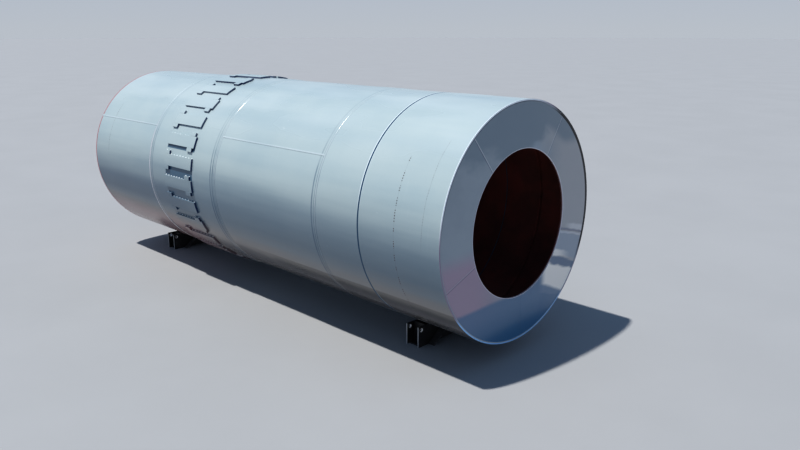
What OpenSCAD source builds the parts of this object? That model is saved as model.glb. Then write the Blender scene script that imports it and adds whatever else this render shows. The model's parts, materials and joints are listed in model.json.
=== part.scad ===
// Rotary kiln shell section with end dam plate and tyre seat, on two transport saddles.
// Millimetres. The kiln axis runs along X, the dam plate is at +X, +Z is up, saddles stand on Z = 0.

/* [Shell] */
// Inside diameter of the shell
bore = 3200; // [2600:10:4200]
// Plate thickness of the two courses behind the dam plate
thin_plate = 28; // [20:1:40]
// Plate thickness of the courses on both sides of the tyre seat
mid_plate = 34; // [22:1:50]
// Plate thickness of the tyre seat course
seat_plate = 45; // [30:1:80]
// Width of the course that carries the dam plate
end_course = 1410; // [1000:10:2200]
// Width of the short course
short_course = 875; // [600:5:1500]
// Width of the plain course
plain_course = 2525; // [1500:5:3000]
// Width of the tyre seat course
seat_course = 2145; // [1600:5:2800]
// Width of the course that ends at the site joint
joint_course = 2255; // [1500:5:3000]
// Length of a taper for each millimetre that a course is thicker than the next
taper_run = 10; // [4:0.5:16]
// Place of the first pair of long seams, degrees from +Y towards +Z
seam_angle = 150; // [120:1:180]
// Turn of the long seams from one course to the next, degrees
seam_stagger = 90; // [30:1:90]

/* [Welds] */
// Root gap between two plates
weld_gap = 6; // [3:0.5:10]
// Width of the weld cap on the outside
cap_width = 26; // [14:1:40]
// Height of the weld cap
cap_height = 4; // [1:0.5:6]
// Width of the bead on the inside
root_width = 14; // [10:1:30]
// Height of the bead on the inside
root_height = 2; // [1:0.5:4]
// Depth of the open groove at the first girth seam
groove_depth = 11; // [5:1:20]
// Width of one side of the open groove
groove_side = 9; // [4:1:16]
// Length of the bevel at the site joint
bevel = 22; // [10:1:30]
// Blunt nose left at the site joint
bevel_nose = 5; // [2:1:10]

/* [Dam plate] */
// Hole in the dam plate
dam_hole = 2000; // [1200:10:2600]
// Thickness of the dam plate
dam_plate = 30; // [16:1:50]
// Number of sector plates
dam_sectors = 5; // [3:1:8]
// Place of the first radial seam, degrees
dam_angle = 57.5; // [0:0.5:90]
// Setback of the dam plate from the shell's end
dam_setback = 5; // [0:1:40]
// Leg of the fillet weld round the dam plate
dam_fillet = 12; // [6:1:20]

/* [Tyre seat] */
// Number of pads round the shell, an even number
pad_count = 28; // [16:2:40]
// Length of a pad along the kiln
pad_length = 880; // [500:10:1400]
// Width of a pad round the shell
pad_width = 198; // [120:1:260]
// Thickness of a pad
pad_thick = 32; // [16:1:60]
// Place of the first pad, degrees
pad_angle = 156.75; // [150:0.25:165]
// Shift of the pads from the middle of their course towards the site joint
pad_shift = 37.5; // [0:0.5:60]
// Length of a stop block beside a pad
stop_length = 150; // [80:5:220]
// Width of a stop block
stop_width = 66; // [30:1:80]
// Inset of the stop blocks at the pads' dam plate end
stop_inset = 55; // [0:5:120]

/* [Brick retaining rings] */
// Height of a retaining ring
ring_height = 60; // [30:1:100]
// Thickness of a retaining ring
ring_thick = 25; // [12:1:40]
// Segments in one ring
ring_segments = 12; // [4:1:16]
// Play between the ends of two segments
ring_play = 10; // [4:1:30]
// Distance of the first ring from the dam plate end
ring_1_at = 290; // [150:5:400]
// Distance of the second ring from the dam plate end
ring_2_at = 755; // [500:5:1000]
// Distance of the third ring from the site joint
ring_3_at = 585; // [550:5:1200]

/* [Round keeping brace] */
// Distance of the brace from the site joint
brace_at = 300; // [200:10:440]
// Diameter of the brace tubes
brace_tube = 114; // [60:1:168]
// Wall of the brace tubes
brace_wall = 8; // [4:1:16]
// Diameter of the hub
brace_hub_d = 320; // [240:10:480]
// Length of the hub along the kiln
brace_hub_l = 150; // [120:10:240]
// Width of a foot round the shell
foot_width = 220; // [160:10:320]
// Thickness of a foot
foot_thick = 16; // [8:1:30]

/* [Transport saddles] */
// Clear height under the shell
ground_gap = 250; // [180:5:400]
// Length of a saddle across the kiln
saddle_length = 1530; // [1200:10:2000]
// Height of the webs' flat corners above the shell's lowest line
corner_rise = 60; // [40:5:90]
// Distance between the middles of the two webs
web_spacing = 220; // [160:5:320]
// Thickness of a web
web_thick = 20; // [10:1:30]
// Thickness of the curved liner
liner_thick = 16; // [8:1:30]
// Thickness of the base plate
base_thick = 16; // [8:1:30]
// Inset of the base plate from the ends of the webs
base_inset = 40; // [5:5:120]
// Distance of the front saddle from the dam plate end
saddle_front_at = 1240; // [1000:5:1250]
// Distance of the rear saddle from the site joint
saddle_rear_at = 1145; // [900:5:1800]
// Diameter of the lashing holes
lash_hole = 50; // [30:1:60]
// Distance of the lashing holes below the webs' flat corners
lash_drop = 55; // [45:1:90]
// Distance of a lashing hole from the end of its web
lash_inset = 60; // [50:1:120]
// Thickness of the ribs between the webs
rib_thick = 12; // [8:1:25]
// Depth of the slanted stiffeners outside the webs
stiffener_depth = 110; // [60:5:140]
// How far a stiffener leans in for each millimetre of height
stiffener_lean = 1.3; // [0.8:0.1:1.6]
// Play between the shell and the liner
seat_play = 0.3; // [0.1:0.1:1]

/* [Hidden] */
$fn = 96;
fine = 360;
r_in = bore / 2;
r_thin = r_in + thin_plate;
r_mid = r_in + mid_plate;
r_seat = r_in + seat_plate;
r_pad = r_seat + pad_thick;
section = end_course + short_course + plain_course + seat_course + joint_course;
x_end = section / 2;
x_d = x_end - end_course;
x_c = x_d - short_course;
x_b = x_c - plain_course;
x_a = x_b - seat_course;
x_site = x_a - joint_course;
x_seat = (x_a + x_b) / 2 - pad_shift;
half_gap = weld_gap / 2;
axis_z = ground_gap + r_thin;
saddle_top = ground_gap + corner_rise;
pad_pitch = 360 / pad_count;
pad_sweep = degrees_at(pad_width, r_seat);
stop_sweep = degrees_at(stop_width, r_seat);
sector = 360 / dam_sectors;
dam_face = x_end - dam_setback;
x_brace = x_site + brace_at;
x_front = x_end - saddle_front_at;
x_rear = x_site + saddle_rear_at;
r_foot = r_in - foot_thick;
red = [0.36, 0.16, 0.13];
enamel = [0.60, 0.68, 0.72];
slate = [0.34, 0.40, 0.47];
black = [0.10, 0.10, 0.11];
bead = [0.56, 0.64, 0.68];

// Which sub-part to draw

// Angle that an arc length takes at a radius
function degrees_at(length, radius) = length / radius * 180 / PI;

// Turns a flat section of [radius, x] points round the kiln axis
module turned(points, from, sweep) {
    translate([0, 0, axis_z])
        rotate([0, 90, 0])
            rotate([0, 0, from + 90])
                rotate_extrude(angle = sweep)
                    polygon(points);
}

// Full ring from a flat section of [radius, x] points
module ring(points) {
    translate([0, 0, axis_z])
        rotate([0, 90, 0])
            rotate_extrude()
                polygon(points);
}

// Outer line of a course from low x to high x: radius and cut at each end
function outer_line(x0, x1, r0, r, r1, cut0, cut1) = concat(
    cut0[0] > 0 ? [[r0 - cut0[1], x0], [r0, x0 + cut0[0]]] : [[r0, x0]],
    r0 < r ? [[r, x0 + taper_run * (r - r0)]] : [],
    r1 < r ? [[r, x1 - taper_run * (r - r1)]] : [],
    cut1[0] > 0 ? [[r1, x1 - cut1[0]], [r1 - cut1[1], x1]] : [[r1, x1]]);

// Line moved outwards
function lifted(line, by) = [for (p = line) [p[0] + by, p[1]]];

// Line read backwards
function reversed(line) = [for (i = [len(line) - 1 : -1 : 0]) line[i]];

no_cut = [0, 0];
groove_cut = [groove_side, groove_depth];
site_cut = [bevel, mid_plate - bevel_nose];

// Courses: low x, high x, radii at low end, middle and high end, cuts at low and high end
end_spec = [x_d + half_gap, x_end, r_thin, r_thin, r_thin, groove_cut, no_cut];
short_spec = [x_c + half_gap, x_d - half_gap, r_thin, r_thin, r_thin, no_cut, groove_cut];
plain_spec = [x_b + half_gap, x_c - half_gap, r_mid, r_mid, r_thin, no_cut, no_cut];
seat_spec = [x_a + half_gap, x_b - half_gap, r_mid, r_seat, r_mid, no_cut, no_cut];
joint_spec = [x_site, x_a - half_gap, r_mid, r_mid, r_mid, site_cut, no_cut];

function course_line(s) = outer_line(s[0], s[1], s[2], s[3], s[4], s[5], s[6]);
function course_section(s) = concat(course_line(s), [[r_in, s[1]], [r_in, s[0]]]);

// Half of a course: a rolled plate between two long seams
module course_plate(s, seam) {
    slit = degrees_at(weld_gap, r_in);
    turned(course_section(s), seam + slit / 2, 180 - slit);
}

// Filled long seam of one course, with a cap outside and a bead inside
module long_weld(s, seam) {
    slit = degrees_at(weld_gap, r_in);
    cap = degrees_at(cap_width, r_in);
    root = degrees_at(root_width, r_in);
    line = course_line(s);
    top = [for (p = line) if (p[1] >= s[0] + s[5][0] && p[1] <= s[1] - s[6][0]) p];
    turned(course_section(s), seam - slit / 2, slit);
    turned(concat(lifted(top, cap_height), reversed(top)), seam - cap / 2, cap);
    turned([[r_in, s[0]], [r_in, s[1]], [r_in - root_height, s[1]], [r_in - root_height, s[0]]],
        seam - root / 2, root);
}

// Girth weld between two courses that meet at one outer radius
module girth_weld(x, r) {
    ring([[r_in - root_height, x - root_width / 4], [r_in, x - root_width / 2], [r_in, x - half_gap],
        [r, x - half_gap], [r, x - cap_width / 2], [r + cap_height, x - cap_width / 4],
        [r + cap_height, x + cap_width / 4], [r, x + cap_width / 2], [r, x + half_gap],
        [r_in, x + half_gap], [r_in, x + root_width / 2], [r_in - root_height, x + root_width / 4]]);
}

// Girth seam whose outer groove is still open
module open_girth_seam(x, r) {
    ring([[r_in - root_height, x - root_width / 4], [r_in, x - root_width / 2], [r_in, x - half_gap],
        [r - groove_depth, x - half_gap], [r - groove_depth, x + half_gap],
        [r_in, x + half_gap], [r_in, x + root_width / 2], [r_in - root_height, x + root_width / 4]]);
}

// Sector of the dam plate between two radial seams
module dam_sector_plate(i) {
    slit = degrees_at(weld_gap, r_in);
    turned([[dam_hole / 2, dam_face - dam_plate], [r_in, dam_face - dam_plate], [r_in, dam_face],
        [dam_hole / 2, dam_face]], dam_angle + i * sector + slit / 2, sector - slit);
}

// One pad with its near long edge at the given angle
module seat_pad(angle) {
    turned([[r_seat, x_seat - pad_length / 2], [r_seat, x_seat + pad_length / 2],
        [r_pad, x_seat + pad_length / 2], [r_pad, x_seat - pad_length / 2]],
        angle - pad_sweep / 2, pad_sweep);
}

// The two stop blocks beside one pad, starting at the given x
module pad_stops(angle, x) {
    for (side = [-1, 1])
        turned([[r_seat, x], [r_seat, x + stop_length], [r_pad, x + stop_length], [r_pad, x]],
            side > 0 ? angle + pad_sweep / 2 : angle - pad_sweep / 2 - stop_sweep, stop_sweep);
}

// Flat bar ring inside the shell, in segments with play between their ends
module retaining_ring(x) {
    step = 360 / ring_segments;
    slit = degrees_at(ring_play, r_in);
    for (i = [0 : ring_segments - 1])
        turned([[r_in - ring_height, x - ring_thick / 2], [r_in, x - ring_thick / 2],
            [r_in, x + ring_thick / 2], [r_in - ring_height, x + ring_thick / 2]],
            i * step + slit / 2, step - slit);
}

// Round bar on the kiln axis, used for cuts
module on_axis(r, x0, x1) {
    translate([x0, 0, axis_z])
        rotate([0, 90, 0])
            cylinder(r = r, h = x1 - x0, $fn = fine);
}

// Outline of a saddle web in the Y-Z plane, with its lashing holes
module web_outline(r_shell) {
    difference() {
        translate([-saddle_length / 2, 0])
            square([saddle_length, saddle_top]);
        translate([0, axis_z])
            circle(r = r_shell + seat_play + liner_thick, $fn = fine);
        for (side = [-1, 1])
            translate([side * (saddle_length / 2 - lash_inset), saddle_top - lash_drop])
                circle(d = lash_hole);
    }
}

// Plate that stands across the kiln, its low x face at x
module across(x, thick) {
    translate([x, 0, 0])
        rotate([90, 0, 90])
            linear_extrude(height = thick)
                children();
}

module saddle_webs(x, r_shell) {
    for (side = [-1, 1])
        across(x + side * web_spacing / 2 - web_thick / 2, web_thick)
            web_outline(r_shell);
}

// Curved liner between the webs' flat corners
module saddle_liner(x, r_shell) {
    reach = acos((axis_z - saddle_top) / (r_shell + seat_play + liner_thick));
    width = web_spacing + web_thick;
    turned([[r_shell + seat_play, x - width / 2], [r_shell + seat_play, x + width / 2],
        [r_shell + seat_play + liner_thick, x + width / 2],
        [r_shell + seat_play + liner_thick, x - width / 2]], 270 - reach, 2 * reach, $fn = fine);
}

module saddle_base(x) {
    width = web_spacing - web_thick;
    translate([x - width / 2, base_inset - saddle_length / 2, 0])
        cube([width, saddle_length - 2 * base_inset, base_thick]);
}

// Upright ribs between the webs, under the liner
module saddle_ribs(x, r_shell) {
    inner = web_spacing - web_thick;
    difference() {
        for (y = [-saddle_length * 0.4, -saddle_length * 0.14, saddle_length * 0.14, saddle_length * 0.4])
            translate([x - inner / 2, y - rib_thick / 2, base_thick])
                cube([inner, rib_thick, saddle_top - base_thick]);
        on_axis(r_shell + seat_play + liner_thick, x - inner, x + inner);
    }
}

// Slanted stiffeners on the outer faces of the webs
module saddle_stiffeners(x, r_shell) {
    outer = web_spacing / 2 + web_thick / 2;
    foot = saddle_length * 0.35;
    head = foot - stiffener_lean * saddle_top;
    wide = rib_thick * sqrt(1 + pow(stiffener_lean, 2));
    difference() {
        for (side = [-1, 1], face = [-1, 1])
            across(face > 0 ? x + outer : x - outer - stiffener_depth, stiffener_depth)
                polygon([[side * foot, 0], [side * (foot + wide), 0],
                    [side * (head + wide), saddle_top], [side * head, saddle_top]]);
        on_axis(r_shell + seat_play + liner_thick,
            x - outer - stiffener_depth - 1, x + outer + stiffener_depth + 1);
    }
}

// Seam places of the courses, turned on from one course to the next
seam_far = seam_angle;
seam_turned = seam_angle - seam_stagger;

module end_course_left() {
    color(enamel) course_plate(end_spec, seam_turned);
}

module end_course_right() {
    color(enamel) course_plate(end_spec, seam_turned + 180);
}

module short_course_left() {
    color(enamel) course_plate(short_spec, seam_turned);
}

module short_course_right() {
    color(enamel) course_plate(short_spec, seam_turned + 180);
}

module plain_course_upper() {
    color(enamel) course_plate(plain_spec, seam_far - 180);
}

module plain_course_lower() {
    color(enamel) course_plate(plain_spec, seam_far);
}

module seat_course_left() {
    color(enamel) course_plate(seat_spec, seam_turned);
}

module seat_course_right() {
    color(enamel) course_plate(seat_spec, seam_turned + 180);
}

module joint_course_upper() {
    color(enamel) course_plate(joint_spec, seam_far - 180);
}

module joint_course_lower() {
    color(enamel) course_plate(joint_spec, seam_far);
}

module girth_seam_open() {
    color(slate) open_girth_seam(x_d, r_thin);
}

module girth_weld_short() {
    color(bead) girth_weld(x_c, r_thin);
}

module girth_weld_seat_front() {
    color(bead) girth_weld(x_b, r_mid);
}

module girth_weld_seat_rear() {
    color(bead) girth_weld(x_a, r_mid);
}

module long_welds() {
    color(bead)
        for (turn = [0, 180]) {
            long_weld(end_spec, seam_turned + turn);
            long_weld(short_spec, seam_turned + turn);
            long_weld(plain_spec, seam_far + turn);
            long_weld(seat_spec, seam_turned + turn);
            long_weld(joint_spec, seam_far + turn);
        }
}

module dam_sector_1() {
    color(slate) dam_sector_plate(0);
}

module dam_sector_2() {
    color(slate) dam_sector_plate(1);
}

module dam_sector_3() {
    color(slate) dam_sector_plate(2);
}

module dam_sector_4() {
    color(slate) dam_sector_plate(3);
}

module dam_sector_5() {
    color(slate) for (i = [4 : dam_sectors - 1]) dam_sector_plate(i);
}

module dam_radial_welds() {
    slit = degrees_at(weld_gap, r_in);
    color(slate)
        for (i = [0 : dam_sectors - 1])
            turned([[dam_hole / 2, dam_face - dam_plate], [r_in, dam_face - dam_plate], [r_in, dam_face],
                [dam_hole / 2, dam_face]], dam_angle + i * sector - slit / 2, slit);
}

module dam_rim_weld() {
    back = dam_face - dam_plate;
    color(red)
        ring([[r_in, back], [r_in - dam_fillet, back], [r_in, back - dam_fillet]]);
}

module seat_pads_rear_stopped() {
    color(enamel)
        for (i = [1 : 2 : pad_count - 1])
            seat_pad(pad_angle + i * pad_pitch);
}

module seat_pads_front_stopped() {
    color(enamel)
        for (i = [0 : 2 : pad_count - 1])
            seat_pad(pad_angle + i * pad_pitch);
}

module pad_stops_rear() {
    color(enamel)
        for (i = [1 : 2 : pad_count - 1])
            pad_stops(pad_angle + i * pad_pitch, x_seat - pad_length / 2);
}

module pad_stops_front() {
    color(enamel)
        for (i = [0 : 2 : pad_count - 1])
            pad_stops(pad_angle + i * pad_pitch, x_seat + pad_length / 2 - stop_inset - stop_length);
}

module retaining_ring_1() {
    color(red) retaining_ring(x_end - ring_1_at);
}

module retaining_ring_2() {
    color(red) retaining_ring(x_end - ring_2_at);
}

module retaining_ring_3() {
    color(red) retaining_ring(x_site + ring_3_at);
}

module brace_hub() {
    color(red)
        difference() {
            on_axis(brace_hub_d / 2, x_brace - brace_hub_l / 2, x_brace + brace_hub_l / 2);
            on_axis(brace_hub_d / 2 - 2 * brace_wall, x_brace - brace_hub_l, x_brace + brace_hub_l);
        }
}

module brace_arms() {
    color(red)
        for (turn = [0 : 90 : 270])
            difference() {
                intersection() {
                    translate([x_brace, 0, axis_z])
                        rotate([turn, 0, 0])
                            difference() {
                                cylinder(d = brace_tube, h = r_in);
                                translate([0, 0, -1])
                                    cylinder(d = brace_tube - 2 * brace_wall, h = r_in + 2);
                            }
                    on_axis(r_foot, x_brace - brace_tube, x_brace + brace_tube);
                }
                on_axis(brace_hub_d / 2, x_brace - brace_tube, x_brace + brace_tube);
            }
}

module brace_feet() {
    sweep = degrees_at(foot_width, r_in);
    color(red)
        for (turn = [0 : 90 : 270])
            turned([[r_foot, x_brace - foot_width / 2], [r_in, x_brace - foot_width / 2],
                [r_in, x_brace + foot_width / 2], [r_foot, x_brace + foot_width / 2]],
                turn - sweep / 2, sweep);
}

module front_saddle_webs() {
    color(black) saddle_webs(x_front, r_thin);
}

module front_saddle_liner() {
    color(black) saddle_liner(x_front, r_thin);
}

module front_saddle_base() {
    color(black) saddle_base(x_front);
}

module front_saddle_ribs() {
    color(black) saddle_ribs(x_front, r_thin);
}

module front_saddle_stiffeners() {
    color(black) saddle_stiffeners(x_front, r_thin);
}

module rear_saddle_webs() {
    color(black) saddle_webs(x_rear, r_mid);
}

module rear_saddle_liner() {
    color(black) saddle_liner(x_rear, r_mid);
}

module rear_saddle_base() {
    color(black) saddle_base(x_rear);
}

module rear_saddle_ribs() {
    color(black) saddle_ribs(x_rear, r_mid);
}

module rear_saddle_stiffeners() {
    color(black) saddle_stiffeners(x_rear, r_mid);
}

end_course_left();
end_course_right();
short_course_left();
short_course_right();
plain_course_upper();
plain_course_lower();
seat_course_left();
seat_course_right();
joint_course_upper();
joint_course_lower();
girth_seam_open();
girth_weld_short();
girth_weld_seat_front();
girth_weld_seat_rear();
long_welds();
dam_sector_1();
dam_sector_2();
dam_sector_3();
dam_sector_4();
dam_sector_5();
dam_radial_welds();
dam_rim_weld();
seat_pads_rear_stopped();
seat_pads_front_stopped();
pad_stops_rear();
pad_stops_front();
retaining_ring_1();
retaining_ring_2();
retaining_ring_3();
brace_hub();
brace_arms();
brace_feet();
front_saddle_webs();
front_saddle_liner();
front_saddle_base();
front_saddle_ribs();
front_saddle_stiffeners();
rear_saddle_webs();
rear_saddle_liner();
rear_saddle_base();
rear_saddle_ribs();
rear_saddle_stiffeners();
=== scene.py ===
"""Looks, lights and camera of a rotary kiln shell section that lies on two transport saddles."""
import json
import logging
import math
from dataclasses import dataclass
from enum import Enum
from typing import Iterable, Sequence

import bmesh
import bpy
from mathutils import Matrix, Vector


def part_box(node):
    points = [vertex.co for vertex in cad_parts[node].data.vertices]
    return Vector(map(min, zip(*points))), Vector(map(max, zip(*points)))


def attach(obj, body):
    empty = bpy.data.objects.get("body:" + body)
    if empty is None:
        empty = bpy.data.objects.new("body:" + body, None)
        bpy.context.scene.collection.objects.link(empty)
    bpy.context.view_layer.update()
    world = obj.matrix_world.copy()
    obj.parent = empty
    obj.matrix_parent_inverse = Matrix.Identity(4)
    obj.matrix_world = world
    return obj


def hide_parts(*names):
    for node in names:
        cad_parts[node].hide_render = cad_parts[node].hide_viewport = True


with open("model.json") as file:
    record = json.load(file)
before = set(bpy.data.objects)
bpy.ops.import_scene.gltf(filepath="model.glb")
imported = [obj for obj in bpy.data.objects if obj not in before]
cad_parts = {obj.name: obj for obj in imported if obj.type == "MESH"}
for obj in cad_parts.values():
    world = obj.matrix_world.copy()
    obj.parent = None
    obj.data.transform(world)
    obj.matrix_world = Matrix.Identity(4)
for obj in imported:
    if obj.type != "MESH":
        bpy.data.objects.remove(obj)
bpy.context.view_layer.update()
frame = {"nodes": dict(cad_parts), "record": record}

Socket = bpy.types.NodeSocket
Material = bpy.types.Material
Mesh = bpy.types.Mesh
Colour = tuple[float, float, float, float]
Place = tuple[float, float, float]
Value = float | Place | Colour | Socket
Inputs = dict[str | int, Value]

LOG = logging.getLogger("kiln_section")
BODY = "root"
SEAT_PADS = ("seat_pads_rear_stopped", "seat_pads_front_stopped")
SECTORS = 5
GIRTH_WELDS = ("short", "seat_front", "seat_rear")
SHARP_EDGE = math.radians(35)
SLIGHT_BEND = 0.012
CLEAR_BEND = 0.6
LEAST_WALL = 0.003


def tint(red: int, green: int, blue: int) -> Colour:
    """Linear colour of a paint chip whose display colour runs from 0 to 255.

    Args:
        red: Red of the chip.
        green: Green of the chip.
        blue: Blue of the chip.

    Returns:
        The colour that the shader nodes take.
    """
    shares = [value / 255 for value in (red, green, blue)]
    linear = [s / 12.92 if s <= 0.04045 else ((s + 0.055) / 1.055) ** 2.4 for s in shares]
    return linear[0], linear[1], linear[2], 1.0


def node_corners(node: str) -> list[Vector]:
    """Corners of a CAD node."""
    return [vertex.co for vertex in frame["nodes"][node].data.vertices]


def in_scene(name: str, data: bpy.types.ID) -> bpy.types.Object:
    """New object in the scene, for a mesh, a lamp or a camera."""
    holder = bpy.data.objects.new(name, data)
    bpy.context.scene.collection.objects.link(holder)
    return holder


def finished_mesh(carrier: bpy.types.Object) -> Mesh:
    """Plain mesh of an object with its modifiers carried out; the object is removed."""
    graph = bpy.context.evaluated_depsgraph_get()
    mesh = bpy.data.meshes.new_from_object(carrier.evaluated_get(graph), depsgraph=graph)
    carrier.modifiers.clear()
    bpy.data.objects.remove(carrier)
    return mesh


def new_mesh(name: str, corners: Iterable[Sequence[float]], faces: Sequence[Sequence[int]],
             edges: Sequence[tuple[int, int]] = ()) -> Mesh:
    """Mesh of some corners with the faces or edges between them."""
    mesh = bpy.data.meshes.new(name)
    mesh.from_pydata([tuple(corner) for corner in corners], edges, faces)
    return mesh


# Kiln axis and turned sections


@dataclass(frozen=True)
class KilnAxis:
    """The kiln's axis: a line along X at one height."""

    height: float

    def polar(self, place: Vector) -> tuple[float, float]:
        """Radius of a place and its angle from +Y towards +Z, in radians."""
        rise = place.z - self.height
        return math.hypot(place.y, rise), math.atan2(rise, place.y)

    def rolled(self, along: float, turn: float, radius: float) -> Vector:
        """Place of a rolled-out point: along the kiln, turn in radians, radius."""
        return Vector((along, radius * math.cos(turn), self.height + radius * math.sin(turn)))

    def away(self, place: Vector) -> Vector:
        """Way from the axis to a place, square to the axis."""
        return Vector((0.0, place.y, place.z - self.height))


@dataclass(frozen=True)
class Extent:
    """Room that a piece takes in rolled-out measures."""

    low: float
    high: float
    start: float
    end: float
    inner: float
    outer: float

    @classmethod
    def of(cls, places: Iterable[Vector], axis: KilnAxis) -> "Extent":
        """Room of a set of places.

        Args:
            places: Corners of the piece.
            axis: The kiln's axis.

        Returns:
            Low and high x, first and last angle in radians, least and greatest radius.
        """
        points = list(places)
        polars = [axis.polar(point) for point in points]
        turns = sorted(turn for _, turn in polars)
        gaps = [(after - before, after) for before, after in zip(turns, turns[1:])]
        gaps.append((turns[0] + math.tau - turns[-1], turns[0]))
        widest, first = max(gaps)
        along = [point.x for point in points]
        radii = [radius for radius, _ in polars]
        return cls(min(along), max(along), first, first + math.tau - widest, min(radii), max(radii))

    @classmethod
    def of_node(cls, node: str, axis: KilnAxis) -> "Extent":
        """Room of one CAD node."""
        return cls.of(node_corners(node), axis)

    @property
    def middle(self) -> float:
        """Middle of the piece along the kiln."""
        return (self.low + self.high) / 2

    def turns(self, steps: int, margin: float = 0.0) -> list[float]:
        """Even angles across the piece.

        Args:
            steps: How many steps there are from the first angle to the last.
            margin: Share of the swing that is left free at each end.

        Returns:
            The angles in radians.
        """
        shares = [margin + (1 - 2 * margin) * k / steps for k in range(steps + 1)]
        return [self.start + (self.end - self.start) * share for share in shares]


@dataclass(frozen=True)
class PlateSection:
    """Section of a rolled course, read back from its solid: outer line as (radius, along) corners."""

    outer: tuple[tuple[float, float], ...]
    room: Extent

    @classmethod
    def of_node(cls, node: str, axis: KilnAxis) -> "PlateSection":
        """Section of one CAD node.

        Args:
            node: The node.
            axis: The kiln's axis.

        Returns:
            The section with its corners in order along the kiln.
        """
        places = node_corners(node)
        room = Extent.of(places, axis)
        rings = {(round(axis.polar(place)[0], 4), round(place.x, 4)) for place in places}
        line = sorted((along, radius) for radius, along in rings if radius > room.inner + LEAST_WALL)
        return cls(tuple((radius, along) for along, radius in line), room)

    def radius_at(self, along: float) -> float:
        """Outer radius at a place along the kiln."""
        for (r0, x0), (r1, x1) in zip(self.outer, self.outer[1:]):
            if x0 <= along <= x1 and x1 > x0:
                return r0 + (r1 - r0) * (along - x0) / (x1 - x0)
        return self.outer[0][0] if along < self.outer[0][1] else self.outer[-1][0]

    @property
    def folds(self) -> list[float]:
        """Places along the kiln where the outer line really bends, apart from its ends."""
        places = []
        for before, here, after in zip(self.outer, self.outer[1:], self.outer[2:]):
            first = Vector(here) - Vector(before)
            second = Vector(after) - Vector(here)
            if first.angle(second) > SLIGHT_BEND:
                places.append(here[1])
        return places

    def eased(self, rounding: float, support: float, step: float) -> list[tuple[float, float, bool]]:
        """Closed outline with rounded edges, support points and even steps.

        Args:
            rounding: Radius of the sharp edges.
            support: Distance of a support point from its corner.
            step: Longest stretch between two points of the outer line.

        Returns:
            Points as (radius, along, is on the outer line).
        """
        inner = self.room.inner
        corners = [*self.outer, (inner, self.room.high), (inner, self.room.low)]
        outline: list[tuple[float, float, bool]] = []
        for i, corner in enumerate(corners):
            here = Vector(corner)
            back = Vector(corners[i - 1]) - here
            ahead = Vector(corners[(i + 1) % len(corners)]) - here
            reach = min(back.length, ahead.length)
            bend = math.pi - back.angle(ahead)
            if bend < SLIGHT_BEND:
                continue
            back.normalize()
            ahead.normalize()
            if bend < CLEAR_BEND:
                near = min(support, reach / 3)
                spots = [here + back * near, here, here + ahead * near]
            else:
                cut = min(rounding, reach / 4)
                near = min(cut + support, reach / 2.2)
                first, second = here + back * cut, here + ahead * cut
                arc = [first.lerp(here, t).lerp(here.lerp(second, t), t) for t in (0, 0.25, 0.5, 0.75, 1)]
                spots = [here + back * near, *arc, here + ahead * near]
            outline.extend((spot.x, spot.y, i < len(self.outer)) for spot in spots)
        return self._stepped(outline, step)

    @staticmethod
    def _stepped(outline: list[tuple[float, float, bool]], step: float) -> list[tuple[float, float, bool]]:
        """Adds points to the long stretches of the outer line."""
        result: list[tuple[float, float, bool]] = []
        for here, there in zip(outline, [*outline[1:], outline[0]]):
            result.append(here)
            pieces = int(abs(there[1] - here[1]) / step)
            if here[2] and there[2]:
                for k in range(1, pieces):
                    share = k / pieces
                    radius = here[0] + (there[0] - here[0]) * share
                    result.append((radius, here[1] + (there[1] - here[1]) * share, True))
        return result


@dataclass(frozen=True)
class PadRing:
    """Room of the tyre seat's pads along the kiln, and the gaps between them in degrees."""

    low: float
    high: float
    pitch: float
    gap: float
    start: float

    @classmethod
    def read(cls, axis: KilnAxis) -> "PadRing":
        """The ring of pads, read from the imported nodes."""
        places = [place for node in SEAT_PADS for place in node_corners(node)]
        turns = sorted({round(math.degrees(axis.polar(place)[1]) % 360, 2) for place in places})
        steps = [(after - before, before) for before, after in zip(turns, [*turns[1:], turns[0] + 360])]
        gaps = [step for step in steps if step[0] > 0.9 * max(steps)[0]]
        along = [place.x for place in places]
        return cls(min(along), max(along), 360 / len(gaps), gaps[0][0], gaps[0][1])


@dataclass(frozen=True)
class DrumSizes:
    """Places on the drum that the finishes and welds follow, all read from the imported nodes."""

    axis: KilnAxis
    inner: float
    site_end: float
    dam_end: float
    dam_face: float
    dam_back: float
    dam_hole: float
    dam_seam: float
    rim_outer: float
    open_seam: float
    girth_seams: tuple[float, ...]
    creases: tuple[float, ...]
    ring_places: tuple[float, ...]
    pads: PadRing

    @classmethod
    def read(cls) -> "DrumSizes":
        """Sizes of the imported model."""
        low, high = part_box("girth_seam_open")
        axis = KilnAxis((low.z + high.z) / 2)
        end = PlateSection.of_node("end_course_left", axis).room
        tapered = [PlateSection.of_node(node, axis) for node in ("plain_course_upper", "seat_course_left")]
        dam = Extent.of_node("dam_sector_1", axis)
        return cls(
            axis=axis,
            inner=end.inner,
            site_end=Extent.of_node("joint_course_lower", axis).low,
            dam_end=end.high,
            dam_face=dam.high,
            dam_back=dam.low,
            dam_hole=dam.inner,
            dam_seam=math.degrees(dam.start),
            rim_outer=end.outer,
            open_seam=cls._middle("girth_seam_open"),
            girth_seams=tuple(cls._middle(f"girth_weld_{name}") for name in GIRTH_WELDS),
            creases=tuple(place for section in tapered for place in section.folds),
            ring_places=tuple(cls._middle(f"retaining_ring_{n}") for n in (1, 2, 3)),
            pads=PadRing.read(axis),
        )

    @staticmethod
    def _middle(node: str) -> float:
        """Middle of a node along the kiln."""
        low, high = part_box(node)
        return (low.x + high.x) / 2


# Node boards


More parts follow.
